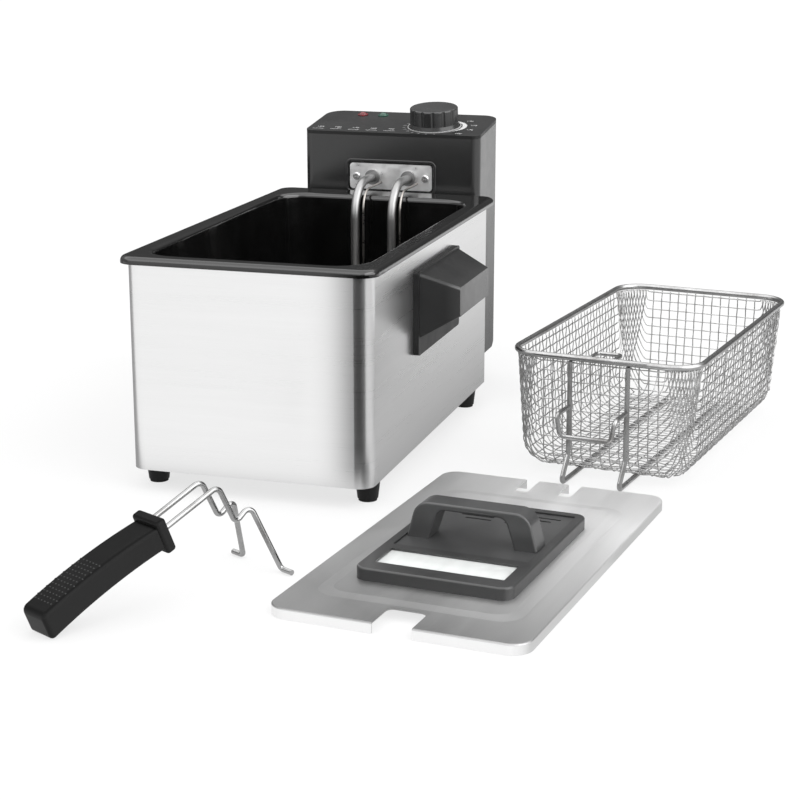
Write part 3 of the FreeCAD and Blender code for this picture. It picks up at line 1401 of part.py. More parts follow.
def handle_grip():
    """Banana-shaped grip; its front face is square to the wires."""
    rear = GRIP_FRONT + GRIP_LENGTH
    entry = Vector(-GRIP_FRONT, 0, WIRE_ENTRY_H)
    upward = Vector(-math.sin(WIRE_ANGLE), 0, math.cos(WIRE_ANGLE))
    top_front = entry + upward * GRIP_OVER_WIRE
    bottom_front = entry - upward * GRIP_UNDER_WIRE
    top_rear = Vector(-rear, 0, GRIP_REAR_H)
    bottom_rear = Vector(-rear + GRIP_REAR_LEAN, 0, -GRIP_HEEL_DROP)
    crown = Vector(0, 0, GRIP_CROWN)
    top = Part.Arc(top_front, (top_front + top_rear) * 0.5 + crown, top_rear).toShape()
    bottom = Part.Arc(bottom_rear, (bottom_front + bottom_rear) * 0.5 + crown, bottom_front).toShape()
    rear_edge = Part.LineSegment(top_rear, bottom_rear).toShape()
    front_edge = Part.LineSegment(bottom_front, top_front).toShape()
    side = Part.Face(Part.Wire([top, rear_edge, bottom, front_edge]))
    side.translate(Y_AXIS * (-GRIP_W / 2))
    body = side.extrude(Y_AXIS * GRIP_W)
    end_edge = edges_where(body, lambda e: e.BoundBox.XMax < -rear + SAME)
    body = body.makeFillet(GRIP_END_R, end_edge)
    heel_edge = edges_where(body, lambda e: e.BoundBox.ZMax < SAME - GRIP_HEEL_DROP)
    body = body.makeFillet(GRIP_HEEL_R, heel_edge)
    behind_front = edges_where(body, lambda e: e.BoundBox.XMin < -GRIP_FRONT - GRIP_LENGTH / 2)
    outline = [e for e in behind_front if e.BoundBox.YLength < SAME]
    return bored_for_wires(body.makeFillet(GRIP_EDGE_R, outline))


def handle_ferrule():
    """Collar against the front of the grip."""
    middle = (GRIP_OVER_WIRE - GRIP_UNDER_WIRE) / 2
    body = block(0, FERRULE_T, -FERRULE_W / 2, FERRULE_W / 2, middle - FERRULE_H / 2, middle + FERRULE_H / 2)
    body = body.makeFillet(FERRULE_EDGE_R, body.Edges)
    lean = Rotation(Y_AXIS, -math.degrees(WIRE_ANGLE))
    body.Placement = Placement(Vector(-GRIP_FRONT, 0, WIRE_ENTRY_H), lean)
    return bored_for_wires(body)


# Write every piece

def build():
    save("casing_shell", casing_shell())
    save("back_panel", back_panel())
    save("back_panel_screws", back_screws())
    save("back_panel_nuts", back_nuts())
    save("base_plate", base_plate())
    makers = {"feet": foot, "foot_pads": foot_pad, "foot_screws": foot_screw, "foot_nuts": foot_nut}
    for name, maker in makers.items():
        save(name, [maker(x, y) for x, y in foot_places()])
    handle = side_handle()
    save("side_handle_right", handle)
    save("side_handle_left", mirrored_x(handle))
    save("side_handle_screws", handle_screws())
    save("guide_rails", [guide_rail(side * RAIL_SPACING / 2) for side in (-1, 1)])
    save("interlock_peg", interlock_peg())
    save("oil_tank", oil_tank())
    panel, front, rear = head_shells()
    save("control_panel", control_panel(panel))
    save("head_front_shell", head_front_shell(front))
    save("head_rear_cover", head_rear_cover(rear))
    save("cover_screws", cover_screws())
    save("element_plate", element_plate())
    save("plate_screws", plate_screws())
    save("plate_nuts", plate_nuts())
    save("element_collars", element_collars())
    save("heating_element", heating_element())
    save("temperature_feelers", feelers())
    save("capillary_tubes", capillaries())
    save("feeler_clips", bulb_clips())
    save("thermostat_body", thermostat_body(), PANEL_PLACE)
    save("thermostat_shaft", thermostat_shaft(), PANEL_PLACE)
    save("thermostat_knob", thermostat_knob(), PANEL_PLACE)
    save("dial_ring", dial_ring(), PANEL_PLACE)
    save("red_lamp", lamp(RED_LAMP_X), PANEL_PLACE)
    save("green_lamp", lamp(GREEN_LAMP_X), PANEL_PLACE)
    save("thermal_cutout", thermal_cutout())
    save("reset_button", reset_button())
    save("terminal_block", terminal_block())
    save("cord_gland", cord_gland())
    save("interlock_switch", interlock_switch())
    save("lid_plate", lid_plate(), LID_PLACE)
    save("lid_frame", lid_frame(), LID_PLACE)
    save("window_glass", window_glass(), LID_PLACE)
    save("window_seal", window_seal(), LID_PLACE)
    save("filter_cover", filter_cover(), LID_PLACE)
    save("grease_filter", grease_filter(), LID_PLACE)
    save("lid_handle", lid_handle(), LID_PLACE)
    save("lid_screws", lid_screws(), LID_PLACE)
    save("basket_rim", basket_rim(), BASKET_PLACE)
    save("basket_mesh", basket_mesh(), BASKET_PLACE)
    save("support_wires", support_wires(), BASKET_PLACE)
    save("front_hook", front_hook(), BASKET_PLACE)
    save("handle_catch", handle_catch(), BASKET_PLACE)
    save("handle_wires", handle_wires(HANDLE_WIRE_R), GRIP_PLACE)
    save("handle_grip", handle_grip(), GRIP_PLACE)
    save("handle_ferrule", handle_ferrule(), GRIP_PLACE)


build()
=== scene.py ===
import math

import bpy
import numpy as np
from mathutils import Matrix, Vector
from mathutils.bvhtree import BVHTree


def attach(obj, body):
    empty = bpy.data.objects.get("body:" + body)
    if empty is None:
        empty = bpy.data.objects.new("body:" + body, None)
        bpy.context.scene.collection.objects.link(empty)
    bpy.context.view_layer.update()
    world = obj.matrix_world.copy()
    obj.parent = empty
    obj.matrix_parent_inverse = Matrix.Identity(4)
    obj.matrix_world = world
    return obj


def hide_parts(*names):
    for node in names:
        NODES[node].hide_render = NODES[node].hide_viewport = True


# Looks of the deep fryer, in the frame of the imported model: metres, unless a heading says millimetres

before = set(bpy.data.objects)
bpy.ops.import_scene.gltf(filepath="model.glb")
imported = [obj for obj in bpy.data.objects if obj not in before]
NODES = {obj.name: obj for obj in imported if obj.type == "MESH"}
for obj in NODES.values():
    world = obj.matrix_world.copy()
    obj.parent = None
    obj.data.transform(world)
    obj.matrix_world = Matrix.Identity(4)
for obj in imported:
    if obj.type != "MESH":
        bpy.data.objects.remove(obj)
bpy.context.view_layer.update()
MM = 0.001
WHITE = (1, 1, 1, 1)

# Where the loose pieces lie on the floor
LID_TURN = math.radians(-6.0)
BASKET_PLACE = Matrix.Translation((0.272, 0.092, 0)) @ Matrix.Rotation(math.radians(-8.0), 4, "Z")
GRIP_PLACE = Matrix.Translation((0.0625, -0.309, 0)) @ Matrix.Rotation(math.radians(62.0), 4, "Z")
# The sloping panel: its front edge in the middle, Y up the slope, Z square to the panel
PANEL_PLACE = Matrix.Translation((0, 0.201, 0.2415)) @ Matrix.Rotation(math.radians(7.5), 4, "X")

# Camera
CAMERA_PLACE = (0.52536, -1.49529, 0.46220)
CAMERA_DOWN = math.radians(15.066)
CAMERA_TURN = math.radians(16.925)
CAMERA_LENS = 85.648
CAMERA_SENSOR = 36.0


# Material helpers

def node(material, kind, inputs=None, **settings):
    """Adds a node; an input that is a socket gets linked, any other value is set."""
    made = material.node_tree.nodes.new(kind)
    for key, value in settings.items():
        setattr(made, key, value)
    for key, value in (inputs or {}).items():
        if isinstance(value, bpy.types.NodeSocket):
            material.node_tree.links.new(value, made.inputs[key])
        else:
            made.inputs[key].default_value = value
    return made


def new_material(name):
    """Material with an empty node tree."""
    material = bpy.data.materials.new(name)
    material.use_nodes = True
    material.node_tree.nodes.clear()
    return material


def ended(material, shader):
    """Ends a material in the given shader node."""
    node(material, "ShaderNodeOutputMaterial", {"Surface": shader.outputs[0]})
    return material


def surface(material, **inputs):
    """Ends a material in the standard shader; names use _ for a space."""
    named = {key.replace("_", " "): value for key, value in inputs.items()}
    return ended(material, node(material, "ShaderNodeBsdfPrincipled", named))


def emission(material, strength):
    """White light of the given strength."""
    return node(material, "ShaderNodeEmission", {"Color": WHITE, "Strength": strength})


def mixed_shader(material, share, first, second):
    """First shader node with a share of the second mixed in."""
    return node(material, "ShaderNodeMixShader", {0: share, 1: first.outputs[0], 2: second.outputs[0]})


def place(material, size=(1, 1, 1), turn=0.0):
    """Object coordinates in units of the given grain size, turned about Z."""
    coordinates = node(material, "ShaderNodeTexCoord").outputs["Object"]
    inputs = {"Vector": coordinates, "Rotation": (0, 0, turn), "Scale": size}
    return node(material, "ShaderNodeMapping", inputs, vector_type="TEXTURE").outputs["Vector"]


def along(material, axis):
    """Position along one axis in metres."""
    return node(material, "ShaderNodeSeparateXYZ", {"Vector": place(material)}).outputs[axis]


def facing(material, axis):
    """Share of the surface's direction along one axis."""
    normal = node(material, "ShaderNodeNewGeometry").outputs["Normal"]
    return node(material, "ShaderNodeSeparateXYZ", {"Vector": normal}).outputs[axis]


def noise(material, size, turn=0.0, detail=3.0, roughness=0.55):
    """Noise whose grain has the given size in metres, one for all axes or one for each."""
    if not isinstance(size, tuple):
        size = (size, size, size)
    inputs = {"Vector": place(material, size, turn), "Scale": 1.0, "Detail": detail, "Roughness": roughness}
    return node(material, "ShaderNodeTexNoise", inputs).outputs["Fac"]


def cells(material, size):
    """Cell pattern of the given size in metres."""
    inputs = {"Vector": place(material, (size, size, size)), "Scale": 1.0}
    return node(material, "ShaderNodeTexVoronoi", inputs).outputs["Distance"]


def spread(material, value, low, high, start=0.3, stop=0.7):
    """Maps the part of a pattern between start and stop onto low to high."""
    inputs = {"Value": value, "From Min": start, "From Max": stop, "To Min": low, "To Max": high}
    return node(material, "ShaderNodeMapRange", inputs).outputs["Result"]


def shades(material, value, stops):
    """Colour ramp over (position, colour) stops."""
    ramp = node(material, "ShaderNodeValToRGB", {"Fac": value})
    elements = ramp.color_ramp.elements
    while len(elements) < len(stops):
        elements.new(0.5)
    for element, (position, colour) in zip(elements, stops):
        element.position = position
        element.color = (*colour, 1)
    return ramp.outputs["Color"]


def grey(level, tint=0.0):
    """Grey, with a tint above 0 for warm and below 0 for cool."""
    return (level * (1 + tint), level, level * (1 - tint))


def greys(material, value, level, stops, tint=0.0):
    """Grey ramp over (position, share of the level) stops."""
    return shades(material, value, [(position, grey(level * share, tint)) for position, share in stops])


def computed(material, operation, *values):
    """Result of a mathematical operation on values or sockets."""
    return node(material, "ShaderNodeMath", dict(enumerate(values)), operation=operation).outputs["Value"]


def added(material, first, second, share):
    """First value plus a share of the second."""
    return computed(material, "MULTIPLY_ADD", second, share, first)


def mixed(material, first, second, share):
    """First value with a share of the second mixed in."""
    return node(material, "ShaderNodeMix", {0: share, 2: first, 3: second}).outputs[0]


def bump(material, height, depth, strength=1.0):
    """Relief of the given depth in metres."""
    inputs = {"Height": height, "Distance": depth, "Strength": strength}
    return node(material, "ShaderNodeBump", inputs).outputs["Normal"]


# Materials

# Grain sizes and relief depths that several finishes share
BRUSH_GRAIN = {"detail": 4.0, "roughness": 0.7}
BRUSH_DEPTH = 2e-6
LEATHER_SIZE = 0.0006
LEATHER_DEPTH = 2.5e-5
CLOUD_SIZE = 0.03

# Grain of the brushed sheets along X, Y and Z: the casing's lines are level, the lid's run along it
CASING_LINES = (0.06, 0.06, 0.0004)
CASING_BANDS = (0.3, 0.3, 0.012)
LID_LINES = (0.0006, 0.05, 0.04)
LID_BANDS = (0.03, 0.2, 0.1)
# Painted light on the lid's top: its tone follows Y plus a share of X, lighter from its front left to its
# back right
LID_LIGHT_SLANT = 0.8
LID_LIGHT_REACH = (-0.26, 0.06)
# Places between which a finish changes
LID_FOLD_Z = (0.0062, 0.0072)
TUBE_HEAT_Z = (0.06, 0.19)
TANK_RIM_Z = (0.178, 0.184)
# Painted shade: between these distances out from the middle a side handle's coat grows from the flange's
# share to full
FLANGE_SHADE_X = (0.124, 0.134)
# Share of a side handle's coat that its flange keeps; the lesser shine there is painted shade
FLANGE_COAT = 1 / 6


def brushed_steel(name, level, lines, bands):
    """Steel with fine lines and broad bands, each given by its grain size."""
    material = new_material(name)
    fine = noise(material, lines, **BRUSH_GRAIN)
    broad = noise(material, bands, detail=2.0)
    tone = mixed(material, fine, broad, share=0.45)
    colour = greys(material, tone, level, ((0.35, 0.97), (0.65, 1.02)))
    return surface(material, Base_Color=colour, Metallic=1.0, Roughness=spread(material, tone, 0.26, 0.32),
                   Normal=bump(material, fine, BRUSH_DEPTH))


def lid_sheet(name):
    """Satin sheet with painted light: a brushed top that grows lighter towards its back right corner, and a
    turned-down edge brighter except where it faces right.
    """
    material = new_material(name)
    fine = noise(material, LID_LINES, LID_TURN, **BRUSH_GRAIN)
    broad = noise(material, LID_BANDS, LID_TURN, detail=2.0)
    tone = mixed(material, fine, broad, share=0.5)
    # Painted light: the top grows lighter towards its back right corner, with the brushed grain laid over it
    corner = added(material, along(material, "Y"), along(material, "X"), share=LID_LIGHT_SLANT)
    top = added(material, spread(material, corner, 0.16, 0.75, *LID_LIGHT_REACH), tone, share=0.14)
    # Painted light by direction: the turned-down edge is brighter where it faces front, back or left, and
    # darker where it faces right
    painted_skirt_light = spread(material, facing(material, "X"), 0.95, 0.6, start=0.2, stop=0.9)
    folded = spread(material, along(material, "Z"), 1.0, 0.0, *LID_FOLD_Z)
    level = mixed(material, top, painted_skirt_light, folded)
    return surface(material, Base_Color=level, Metallic=1.0, Roughness=spread(material, tone, 0.42, 0.54),
                   Normal=bump(material, fine, BRUSH_DEPTH))


def plain_steel(name, level, rough=(0.22, 0.42), tint=0.0):
    """Cold rolled sheet: cloudy, with faint scratches."""
    material = new_material(name)
    clouds = noise(material, 0.012, detail=5.0)
    scratches = noise(material, (0.03, 0.0012, 0.0012), detail=2.0)
    tone = mixed(material, clouds, scratches, share=0.33)
    colour = greys(material, tone, level, ((0.35, 0.82), (0.65, 1.06)), tint)
    return surface(material, Base_Color=colour, Metallic=1.0, Roughness=spread(material, tone, *rough),
                   Normal=bump(material, scratches, depth=1e-5))


def mottled_steel(name):
    """Bright plate with a faint spangle and slight dents."""
    material = new_material(name)
    spangle = cells(material, 0.005)
    clouds = noise(material, 0.007, detail=4.0)
    dents = noise(material, 0.009, detail=1.0)
    tone = mixed(material, clouds, spangle, share=0.25)
    colour = greys(material, tone, 1.0, ((0.3, 0.84), (0.42, 0.94), (0.65, 0.98)))
    return surface(material, Base_Color=colour, Metallic=0.85, Roughness=spread(material, tone, 0.26, 0.42),
                   Normal=bump(material, dents, depth=4e-4, strength=0.8))


def heated_steel(name):
    """Drawn tube, darkened by heat towards its lower end."""
    material = new_material(name)
    draw = noise(material, (0.0015, 0.0015, 0.06), detail=3.0)
    clouds = noise(material, 0.02, detail=3.0)
    low = spread(material, along(material, "Z"), 1.0, 0.0, *TUBE_HEAT_Z)
    heat = mixed(material, low, clouds, share=0.33)
    colour = shades(material, heat, ((0.2, grey(0.34)), (0.5, grey(0.5, 0.02)), (0.8, grey(0.44, 0.05))))
    return surface(material, Base_Color=colour, Metallic=1.0, Roughness=spread(material, draw, 0.34, 0.46),
                   Normal=bump(material, draw, depth=6e-6))


def chrome_wire(name, level, rough, patch=0.03):
    """Plated wire with dull and dark patches."""
    material = new_material(name)
    patches = noise(material, patch, detail=4.0)
    grain = noise(material, 0.0012, detail=2.0)
    tone = mixed(material, patches, grain, share=0.26)
    stops = ((0.36, grey(level * 0.62, 0.02)), (0.5, grey(level)), (0.64, grey(level * 1.2)))
    return surface(material, Base_Color=shades(material, tone, stops), Metallic=1.0,
                   Roughness=spread(material, tone, rough[1], rough[0]),
                   Normal=bump(material, grain, depth=1e-5))


def moulded_plastic(name, level, rough=(0.36, 0.52), grain=LEATHER_SIZE, depth=LEATHER_DEPTH, specular=0.5,
                    coat=0.0, flange_shade_x=None):
    """Grained plastic with faint clouds; a coat adds shine at flat angles, all over, or with less of it near
    the middle in X as painted shade.
    """
    material = new_material(name)
    leather = noise(material, grain, detail=2.0)
    clouds = noise(material, CLOUD_SIZE, detail=4.0)
    colour = greys(material, clouds, level, ((0.3, 0.86), (0.7, 1.16)), tint=-0.01)
    # Painted shade: close to the middle in X the coat thins, so a side handle's flange renders darker as if
    # in the handle's shade
    if flange_shade_x:
        away = computed(material, "ABSOLUTE", along(material, "X"))
        coat = spread(material, away, coat * FLANGE_COAT, coat, *flange_shade_x)
    return surface(material, Base_Color=colour, Roughness=spread(material, clouds, *rough),
                   Specular_IOR_Level=specular, Coat_Weight=coat, Coat_Roughness=0.16,
                   Normal=bump(material, leather, depth))


def grip_plastic(name):
    """Black grip with painted light by direction: its top painted darkest and its sides painted greyer."""
    material = new_material(name)
    leather = noise(material, LEATHER_SIZE, detail=2.0)
    clouds = noise(material, CLOUD_SIZE, detail=4.0)
    # Painted light: faces that look up get the darkest level, faces that look sideways a greyer one
    side = spread(material, facing(material, "Z"), 0.02, 0.001, start=0.1, stop=0.7)
    level = added(material, side, clouds, share=0.002)
    return surface(material, Base_Color=level, Roughness=spread(material, clouds, 0.34, 0.46),
                   Specular_IOR_Level=0.08, Normal=bump(material, leather, LEATHER_DEPTH))


def enamel(name, level):
    """Black enamel with a slight orange peel, glossy on the rolled edge of the rim."""
    material = new_material(name)
    peel = noise(material, 0.0028, detail=1.0)
    clouds = noise(material, CLOUD_SIZE, detail=4.0)
    colour = greys(material, clouds, level, ((0.3, 0.8), (0.7, 1.3)))
    roll = spread(material, facing(material, "Z"), 1.0, 0.2, start=0.6, stop=0.98)
    rim = spread(material, along(material, "Z"), 0.0, 1.0, *TANK_RIM_Z)
    return surface(material, Base_Color=colour, Roughness=spread(material, clouds, 0.14, 0.26),
                   Coat_Weight=mixed(material, 0.2, roll, rim), Coat_Roughness=0.06,
                   Specular_IOR_Level=0.35, Normal=bump(material, peel, depth=2e-5))


def rubber(name, level):
    """Dull rubber with paler dust."""
    material = new_material(name)
    grain = noise(material, 0.0009, detail=3.0)
    dust = noise(material, 0.008, detail=4.0)
    colour = shades(material, dust, ((0.35, grey(level)), (0.75, grey(level * 1.6, 0.02))))
    return surface(material, Base_Color=colour, Roughness=spread(material, dust, 0.55, 0.8),
                   Specular_IOR_Level=0.3, Normal=bump(material, grain, depth=4e-5))


def lens(name, dark, light):
    """Coloured lamp lens: glossy, deeper in patches."""
    material = new_material(name)
    patches = noise(material, 0.003, detail=2.0)
    facets = cells(material, 0.0012)
    colour = shades(material, patches, ((0.3, dark), (0.7, light)))
    return surface(material, Base_Color=colour, Roughness=spread(material, patches, 0.25, 0.35),
                   Coat_Weight=0.2, Coat_Roughness=0.1,
                   Normal=bump(material, facets, depth=6e-5, strength=0.5))


def glass(name):
    """Window pane with a white haze that thins out in streaks."""
    material = new_material(name)
    smears = noise(material, (0.02, 0.08, 0.04), LID_TURN, detail=2.0)
    return surface(material, Base_Color=(0.96, 0.98, 0.97, 1), Roughness=spread(material, smears, 0.0, 0.05),
                   Transmission_Weight=spread(material, smears, 0.38, 0.52), IOR=1.46,
                   Normal=bump(material, smears, depth=4e-6))


def felt(name):
    """Matted fibres in clumps."""
    material = new_material(name)
    fibres = noise(material, (0.0025, 0.0004, 0.0004), LID_TURN, detail=5.0, roughness=0.7)
    clumps = noise(material, 0.006, detail=4.0)
    tone = mixed(material, fibres, clumps, share=0.4)
    colour = greys(material, tone, 1.0, ((0.35, 0.2), (0.65, 0.42)), tint=0.03)
    return surface(material, Base_Color=colour, Roughness=0.95, Sheen_Weight=0.4, Sheen_Roughness=0.5,
                   Normal=bump(material, tone, depth=3e-4))


def print_ink(name, level):
    """Thin white print, slightly worn."""
    material = new_material(name)
    wear = noise(material, 0.0012, detail=3.0)
    colour = greys(material, wear, level, ((0.3, 0.8), (0.6, 1.0)))
    return surface(material, Base_Color=colour, Roughness=spread(material, wear, 0.4, 0.6))


SATIN = (0.32, 0.44)
FINISHES = {
    "casing_steel": brushed_steel("casing_steel", level=0.92, lines=CASING_LINES, bands=CASING_BANDS),
    "zinc_screws": plain_steel("zinc_screws", level=0.7, rough=(0.16, 0.34)),
    "black_plastic": moulded_plastic("black_plastic", level=0.012, specular=0.3, coat=1.0),
    "panel_plastic": moulded_plastic("panel_plastic", level=0.009, rough=SATIN, grain=0.0004, depth=1.2e-5,
                                     specular=0.35),
    "soft_rubber": rubber("soft_rubber", level=0.018),
    "sheet_steel": plain_steel("sheet_steel", level=0.66),
    "black_enamel": enamel("black_enamel", level=0.003),
    "element_steel": heated_steel("element_steel"),
    "feeler_steel": plain_steel("feeler_steel", level=0.36, rough=(0.22, 0.4), tint=0.06),
    "inner_plastic": moulded_plastic("inner_plastic", level=0.5, rough=(0.45, 0.6)),
    "red_lens": lens("red_lens", dark=(0.1, 0.006, 0.01), light=(0.2, 0.012, 0.02)),
    "green_lens": lens("green_lens", dark=(0.01, 0.05, 0.035), light=(0.02, 0.1, 0.065)),
    "red_button": lens("red_button", dark=(0.3, 0.012, 0.012), light=(0.42, 0.02, 0.02)),
    "lid_steel": lid_sheet("lid_steel"),
    "clear_glass": glass("clear_glass"),
    "filter_felt": felt("filter_felt"),
    "basket_wire": chrome_wire("basket_wire", level=0.38, rough=(0.22, 0.38)),
    "grip_plastic": grip_plastic("grip_plastic"),
}
LID_PLASTIC = moulded_plastic("lid_plastic", level=0.046, rough=SATIN, coat=0.35)
# Its coat thins on the flange as painted shade
HANDLE_PLASTIC = moulded_plastic("handle_plastic", level=0.012, specular=0.25, coat=0.95, flange_shade_x=FLANGE_SHADE_X)
OWN_FINISHES = {
    "side_handle_left": HANDLE_PLASTIC,
    "side_handle_right": HANDLE_PLASTIC,
    "lid_frame": moulded_plastic("frame_plastic", level=0.025, rough=SATIN, coat=0.4),
    "filter_cover": LID_PLASTIC,
    "lid_handle": LID_PLASTIC,
    "feet": moulded_plastic("foot_plastic", level=0.006, rough=(0.3, 0.44)),
    "handle_wires": chrome_wire("handle_wire", level=0.32, rough=(0.1, 0.22)),
    "element_plate": mottled_steel("element_plate_steel"),
    "dial_ring": print_ink("dial_ring_ink", level=0.45),
    "thermostat_knob": moulded_plastic("knob_plastic", level=0.03, rough=(0.2, 0.28), grain=0.0003,
                                       depth=6e-6, specular=0.6),
}


def paint_nodes():
    """Every node gets the finish of its slot in the record, or its own."""
    for name, piece in NODES.items():
        for slot in piece.material_slots:
            wanted = slot.material.name.split(".")[0]
            slot.material = OWN_FINISHES.get(name) or FINISHES[wanted]


# Mesh helpers

def linked(name, data):
    """New object in the scene."""
    made = bpy.data.objects.new(name, data)
    bpy.context.scene.collection.objects.link(made)
    return made


def new_mesh(name, points, faces, material):
    """Mesh with one material."""
    mesh = bpy.data.meshes.new(name)
    mesh.from_pydata([tuple(p) for p in points], [], faces)
    mesh.update()
    mesh.materials.append(material)
    return mesh


def new_piece(name, points, faces, material, body, smooth=True):
    """Piece that rides on a body, with the finish it is given."""
    mesh = new_mesh(name, points, faces, material)
    if smooth:
        mesh.shade_smooth()
    piece = linked(name, mesh)
    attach(piece, body)
    return piece


def ring_points(centre, side, up, radius, sides):
    """Points round a centre in the plane of two directions."""
    angles = [2 * math.pi * corner / sides for corner in range(sides)]
    return [centre + (side * math.cos(angle) + up * math.sin(angle)) * radius for angle in angles]


def ring_faces(base, rings, sides):
    """Faces between rings of points that follow each other from the index base."""
    faces = []
    for ring in range(rings - 1):
        for corner in range(sides):
            a = base + ring * sides + corner
            b = base + ring * sides + (corner + 1) % sides
            faces.append((a, b, b + sides, a + sides))
    return faces


def joined(parts):
    """Points and faces of several meshes as one."""
    points = []
    faces = []
    for more_points, more_faces in parts:
        base = len(points)
        points += more_points
        faces += [tuple(base + index for index in face) for face in more_faces]
    return points, faces


def quads(outlines):
    """Points and faces of separate outlines with four corners."""
    return joined((outline, [(0, 1, 2, 3)]) for outline in outlines)


# Woven basket, in millimetres about the middle of its floor

WEAVE_PITCH = 8.0
WEAVE_WIRE_R = 0.5
WEAVE_LIFT = 0.42
WEAVE_STEP = 2.0
WEAVE_SIDES = 6
WEAVE_INSET = 0.95
TUB_TOP = 98.7
TUB_FLOOR = 4.1 + WEAVE_INSET
TUB_FLOOR_SIDE = 71.5 - WEAVE_INSET
TUB_FLOOR_END = 140.5 - WEAVE_INSET
TUB_FLARE = 6.0
TUB_HEIGHT = 94.8
TUB_TAPER = math.atan(TUB_FLARE / TUB_HEIGHT)
TUB_FILLET = 22.0 - WEAVE_INSET
TUB_FLOOR_CORNER = 21.5 - WEAVE_INSET
CORNER_SHIFT = 3.0
LEAST_CORNER_POINTS = 3
# A direction that no wire follows
ASIDE = Vector((0.31, 0.17, 0.93))

TURN_UP = math.pi / 2 - TUB_TAPER
FILLET_LENGTH = TUB_FILLET * TURN_UP
FLAT_MARGIN = TUB_FILLET * math.tan(TURN_UP / 2)
FLAT_SIDE = TUB_FLOOR_SIDE - FLAT_MARGIN
FLAT_END = TUB_FLOOR_END - FLAT_MARGIN
ARC_OUT = TUB_FILLET * math.sin(TURN_UP) - FLAT_MARGIN
ARC_UP = TUB_FILLET * (1 - math.cos(TURN_UP))
WALL_LENGTH = (TUB_TOP - TUB_FLOOR - ARC_UP) / math.cos(TUB_TAPER)
TOP_W = FILLET_LENGTH + WALL_LENGTH
# Half the flat floor along the wires and across them, and whether X and Y are exchanged
DIRECTIONS = ((FLAT_SIDE, FLAT_END, False), (FLAT_END, FLAT_SIDE, True))


def wall_profile(w):
    """Out from the floor's edge, up, and the inward normal (out, up) at the length w along the wall."""
    if w <= FILLET_LENGTH:
        turn = max(w, 0.0) / TUB_FILLET
        out = TUB_FILLET * math.sin(turn) - FLAT_MARGIN
        up = TUB_FILLET * (1 - math.cos(turn))
    else:
        turn = TURN_UP
        out = ARC_OUT + (w - FILLET_LENGTH) * math.sin(TUB_TAPER)
        up = ARC_UP + (w - FILLET_LENGTH) * math.cos(TUB_TAPER)
    if w < 0:
        out += w
    return out, TUB_FLOOR + up, (-math.sin(turn), math.cos(turn))


def across_point(length, offset, flat):
    """Point and normal on a wire that runs over the floor and up two opposite walls.

    Length is measured from the middle of the floor, and offset is where the wire lies on the other axis."""
    side = 1 if length >= 0 else -1
    out, up, (normal_out, normal_up) = wall_profile(abs(length) - flat)
    half = flat + FLAT_MARGIN + out
    return (side * half, offset, up), (side * normal_out, 0.0, normal_up)


def corner_point(angle, w):
    """Point and normal in the corner at +X +Y; the angle runs from the X wall to the Y wall."""
    out, up, (normal_out, normal_up) = wall_profile(w)
    shift = CORNER_SHIFT * (up - TUB_FLOOR) / (TUB_TOP - TUB_FLOOR)
    radius = TUB_FLOOR_CORNER + out - shift
    x = TUB_FLOOR_SIDE - TUB_FLOOR_CORNER + shift + radius * math.cos(angle)
    y = TUB_FLOOR_END - TUB_FLOOR_CORNER + shift + radius * math.sin(angle)
    return (x, y, up), (normal_out * math.cos(angle), normal_out * math.sin(angle), normal_up)


def lifted(point, normal, length, index, sign):
    """Point of a wire that goes over one crossing wire and under the next."""
    lift = sign * WEAVE_LIFT * math.cos(math.pi * (length / WEAVE_PITCH + index))
    return Vector(point) + Vector(normal) * lift


def exchanged(point):
    """The point with X and Y exchanged."""
    return Vector((point[1], point[0], point[2]))


def flipped(points, x=1, y=1):
    """The points on the other side of the basket, where x or y is -1."""
    return [Vector((p.x * x, p.y * y, p.z)) for p in points]


def steps(start, stop):
    """Even steps of about WEAVE_STEP."""
    count = max(2, round(abs(stop - start) / WEAVE_STEP)) + 1
    return np.linspace(start, stop, count)


def straight_wires():
    """Wires over the floor and up two opposite walls, in both directions."""
    wires = []
    for flat, other_flat, exchange in DIRECTIONS:
        sign = 1 if exchange else -1
        reach = int(other_flat / WEAVE_PITCH)
        for index in range(-reach, reach + 1):
            wire = []
            for length in steps(-flat - TOP_W, flat + TOP_W):
                point, normal = across_point(length, index * WEAVE_PITCH, flat)
                wire.append(lifted(point, normal, length, index, sign))
            wires.append([exchanged(p) for p in wire] if exchange else wire)
    return wires


def corner_run(base, index, sign, exchange):
    """End of a level wire: from the height base on a wall it bends up through the corner to the rim."""
    rise = TOP_W - base
    count = max(LEAST_CORNER_POINTS, round(rise / WEAVE_STEP))
    run = []
    for share in np.linspace(0.0, 1.0, count)[1:]:
        angle = math.pi / 2 * share * rise / TOP_W
        w = base + rise * share ** 2
        point, normal = corner_point(math.pi / 2 - angle if exchange else angle, w)
        if exchange:
            point, normal = exchanged(point), exchanged(normal)
        run.append(lifted(point, normal, w, index, sign))
    return run


def level_wires():
    """Level wires of the walls; in the corners they fan out evenly to the rim."""
    wires = []
    for flat, other_flat, exchange in DIRECTIONS:
        sign = -1 if exchange else 1
        first_index = int(flat / WEAVE_PITCH) + 1
        first = first_index * WEAVE_PITCH - flat
        for level in range(int((TOP_W - first) / WEAVE_PITCH) + 1):
            base = first + level * WEAVE_PITCH
            index = first_index + level
            half = []
            for offset in steps(0.0, other_flat):
                point, normal = across_point(flat + base, offset, flat)
                half.append(lifted(point, normal, offset, index, sign))
            half += corner_run(base, index, sign, exchange)
            wire = flipped(half[:0:-1], y=-1) + half
            if exchange:
                wire = [exchanged(p) for p in wire]
                wires += [wire, flipped(wire, y=-1)]
            else:
                wires += [wire, flipped(wire, x=-1)]
    return wires


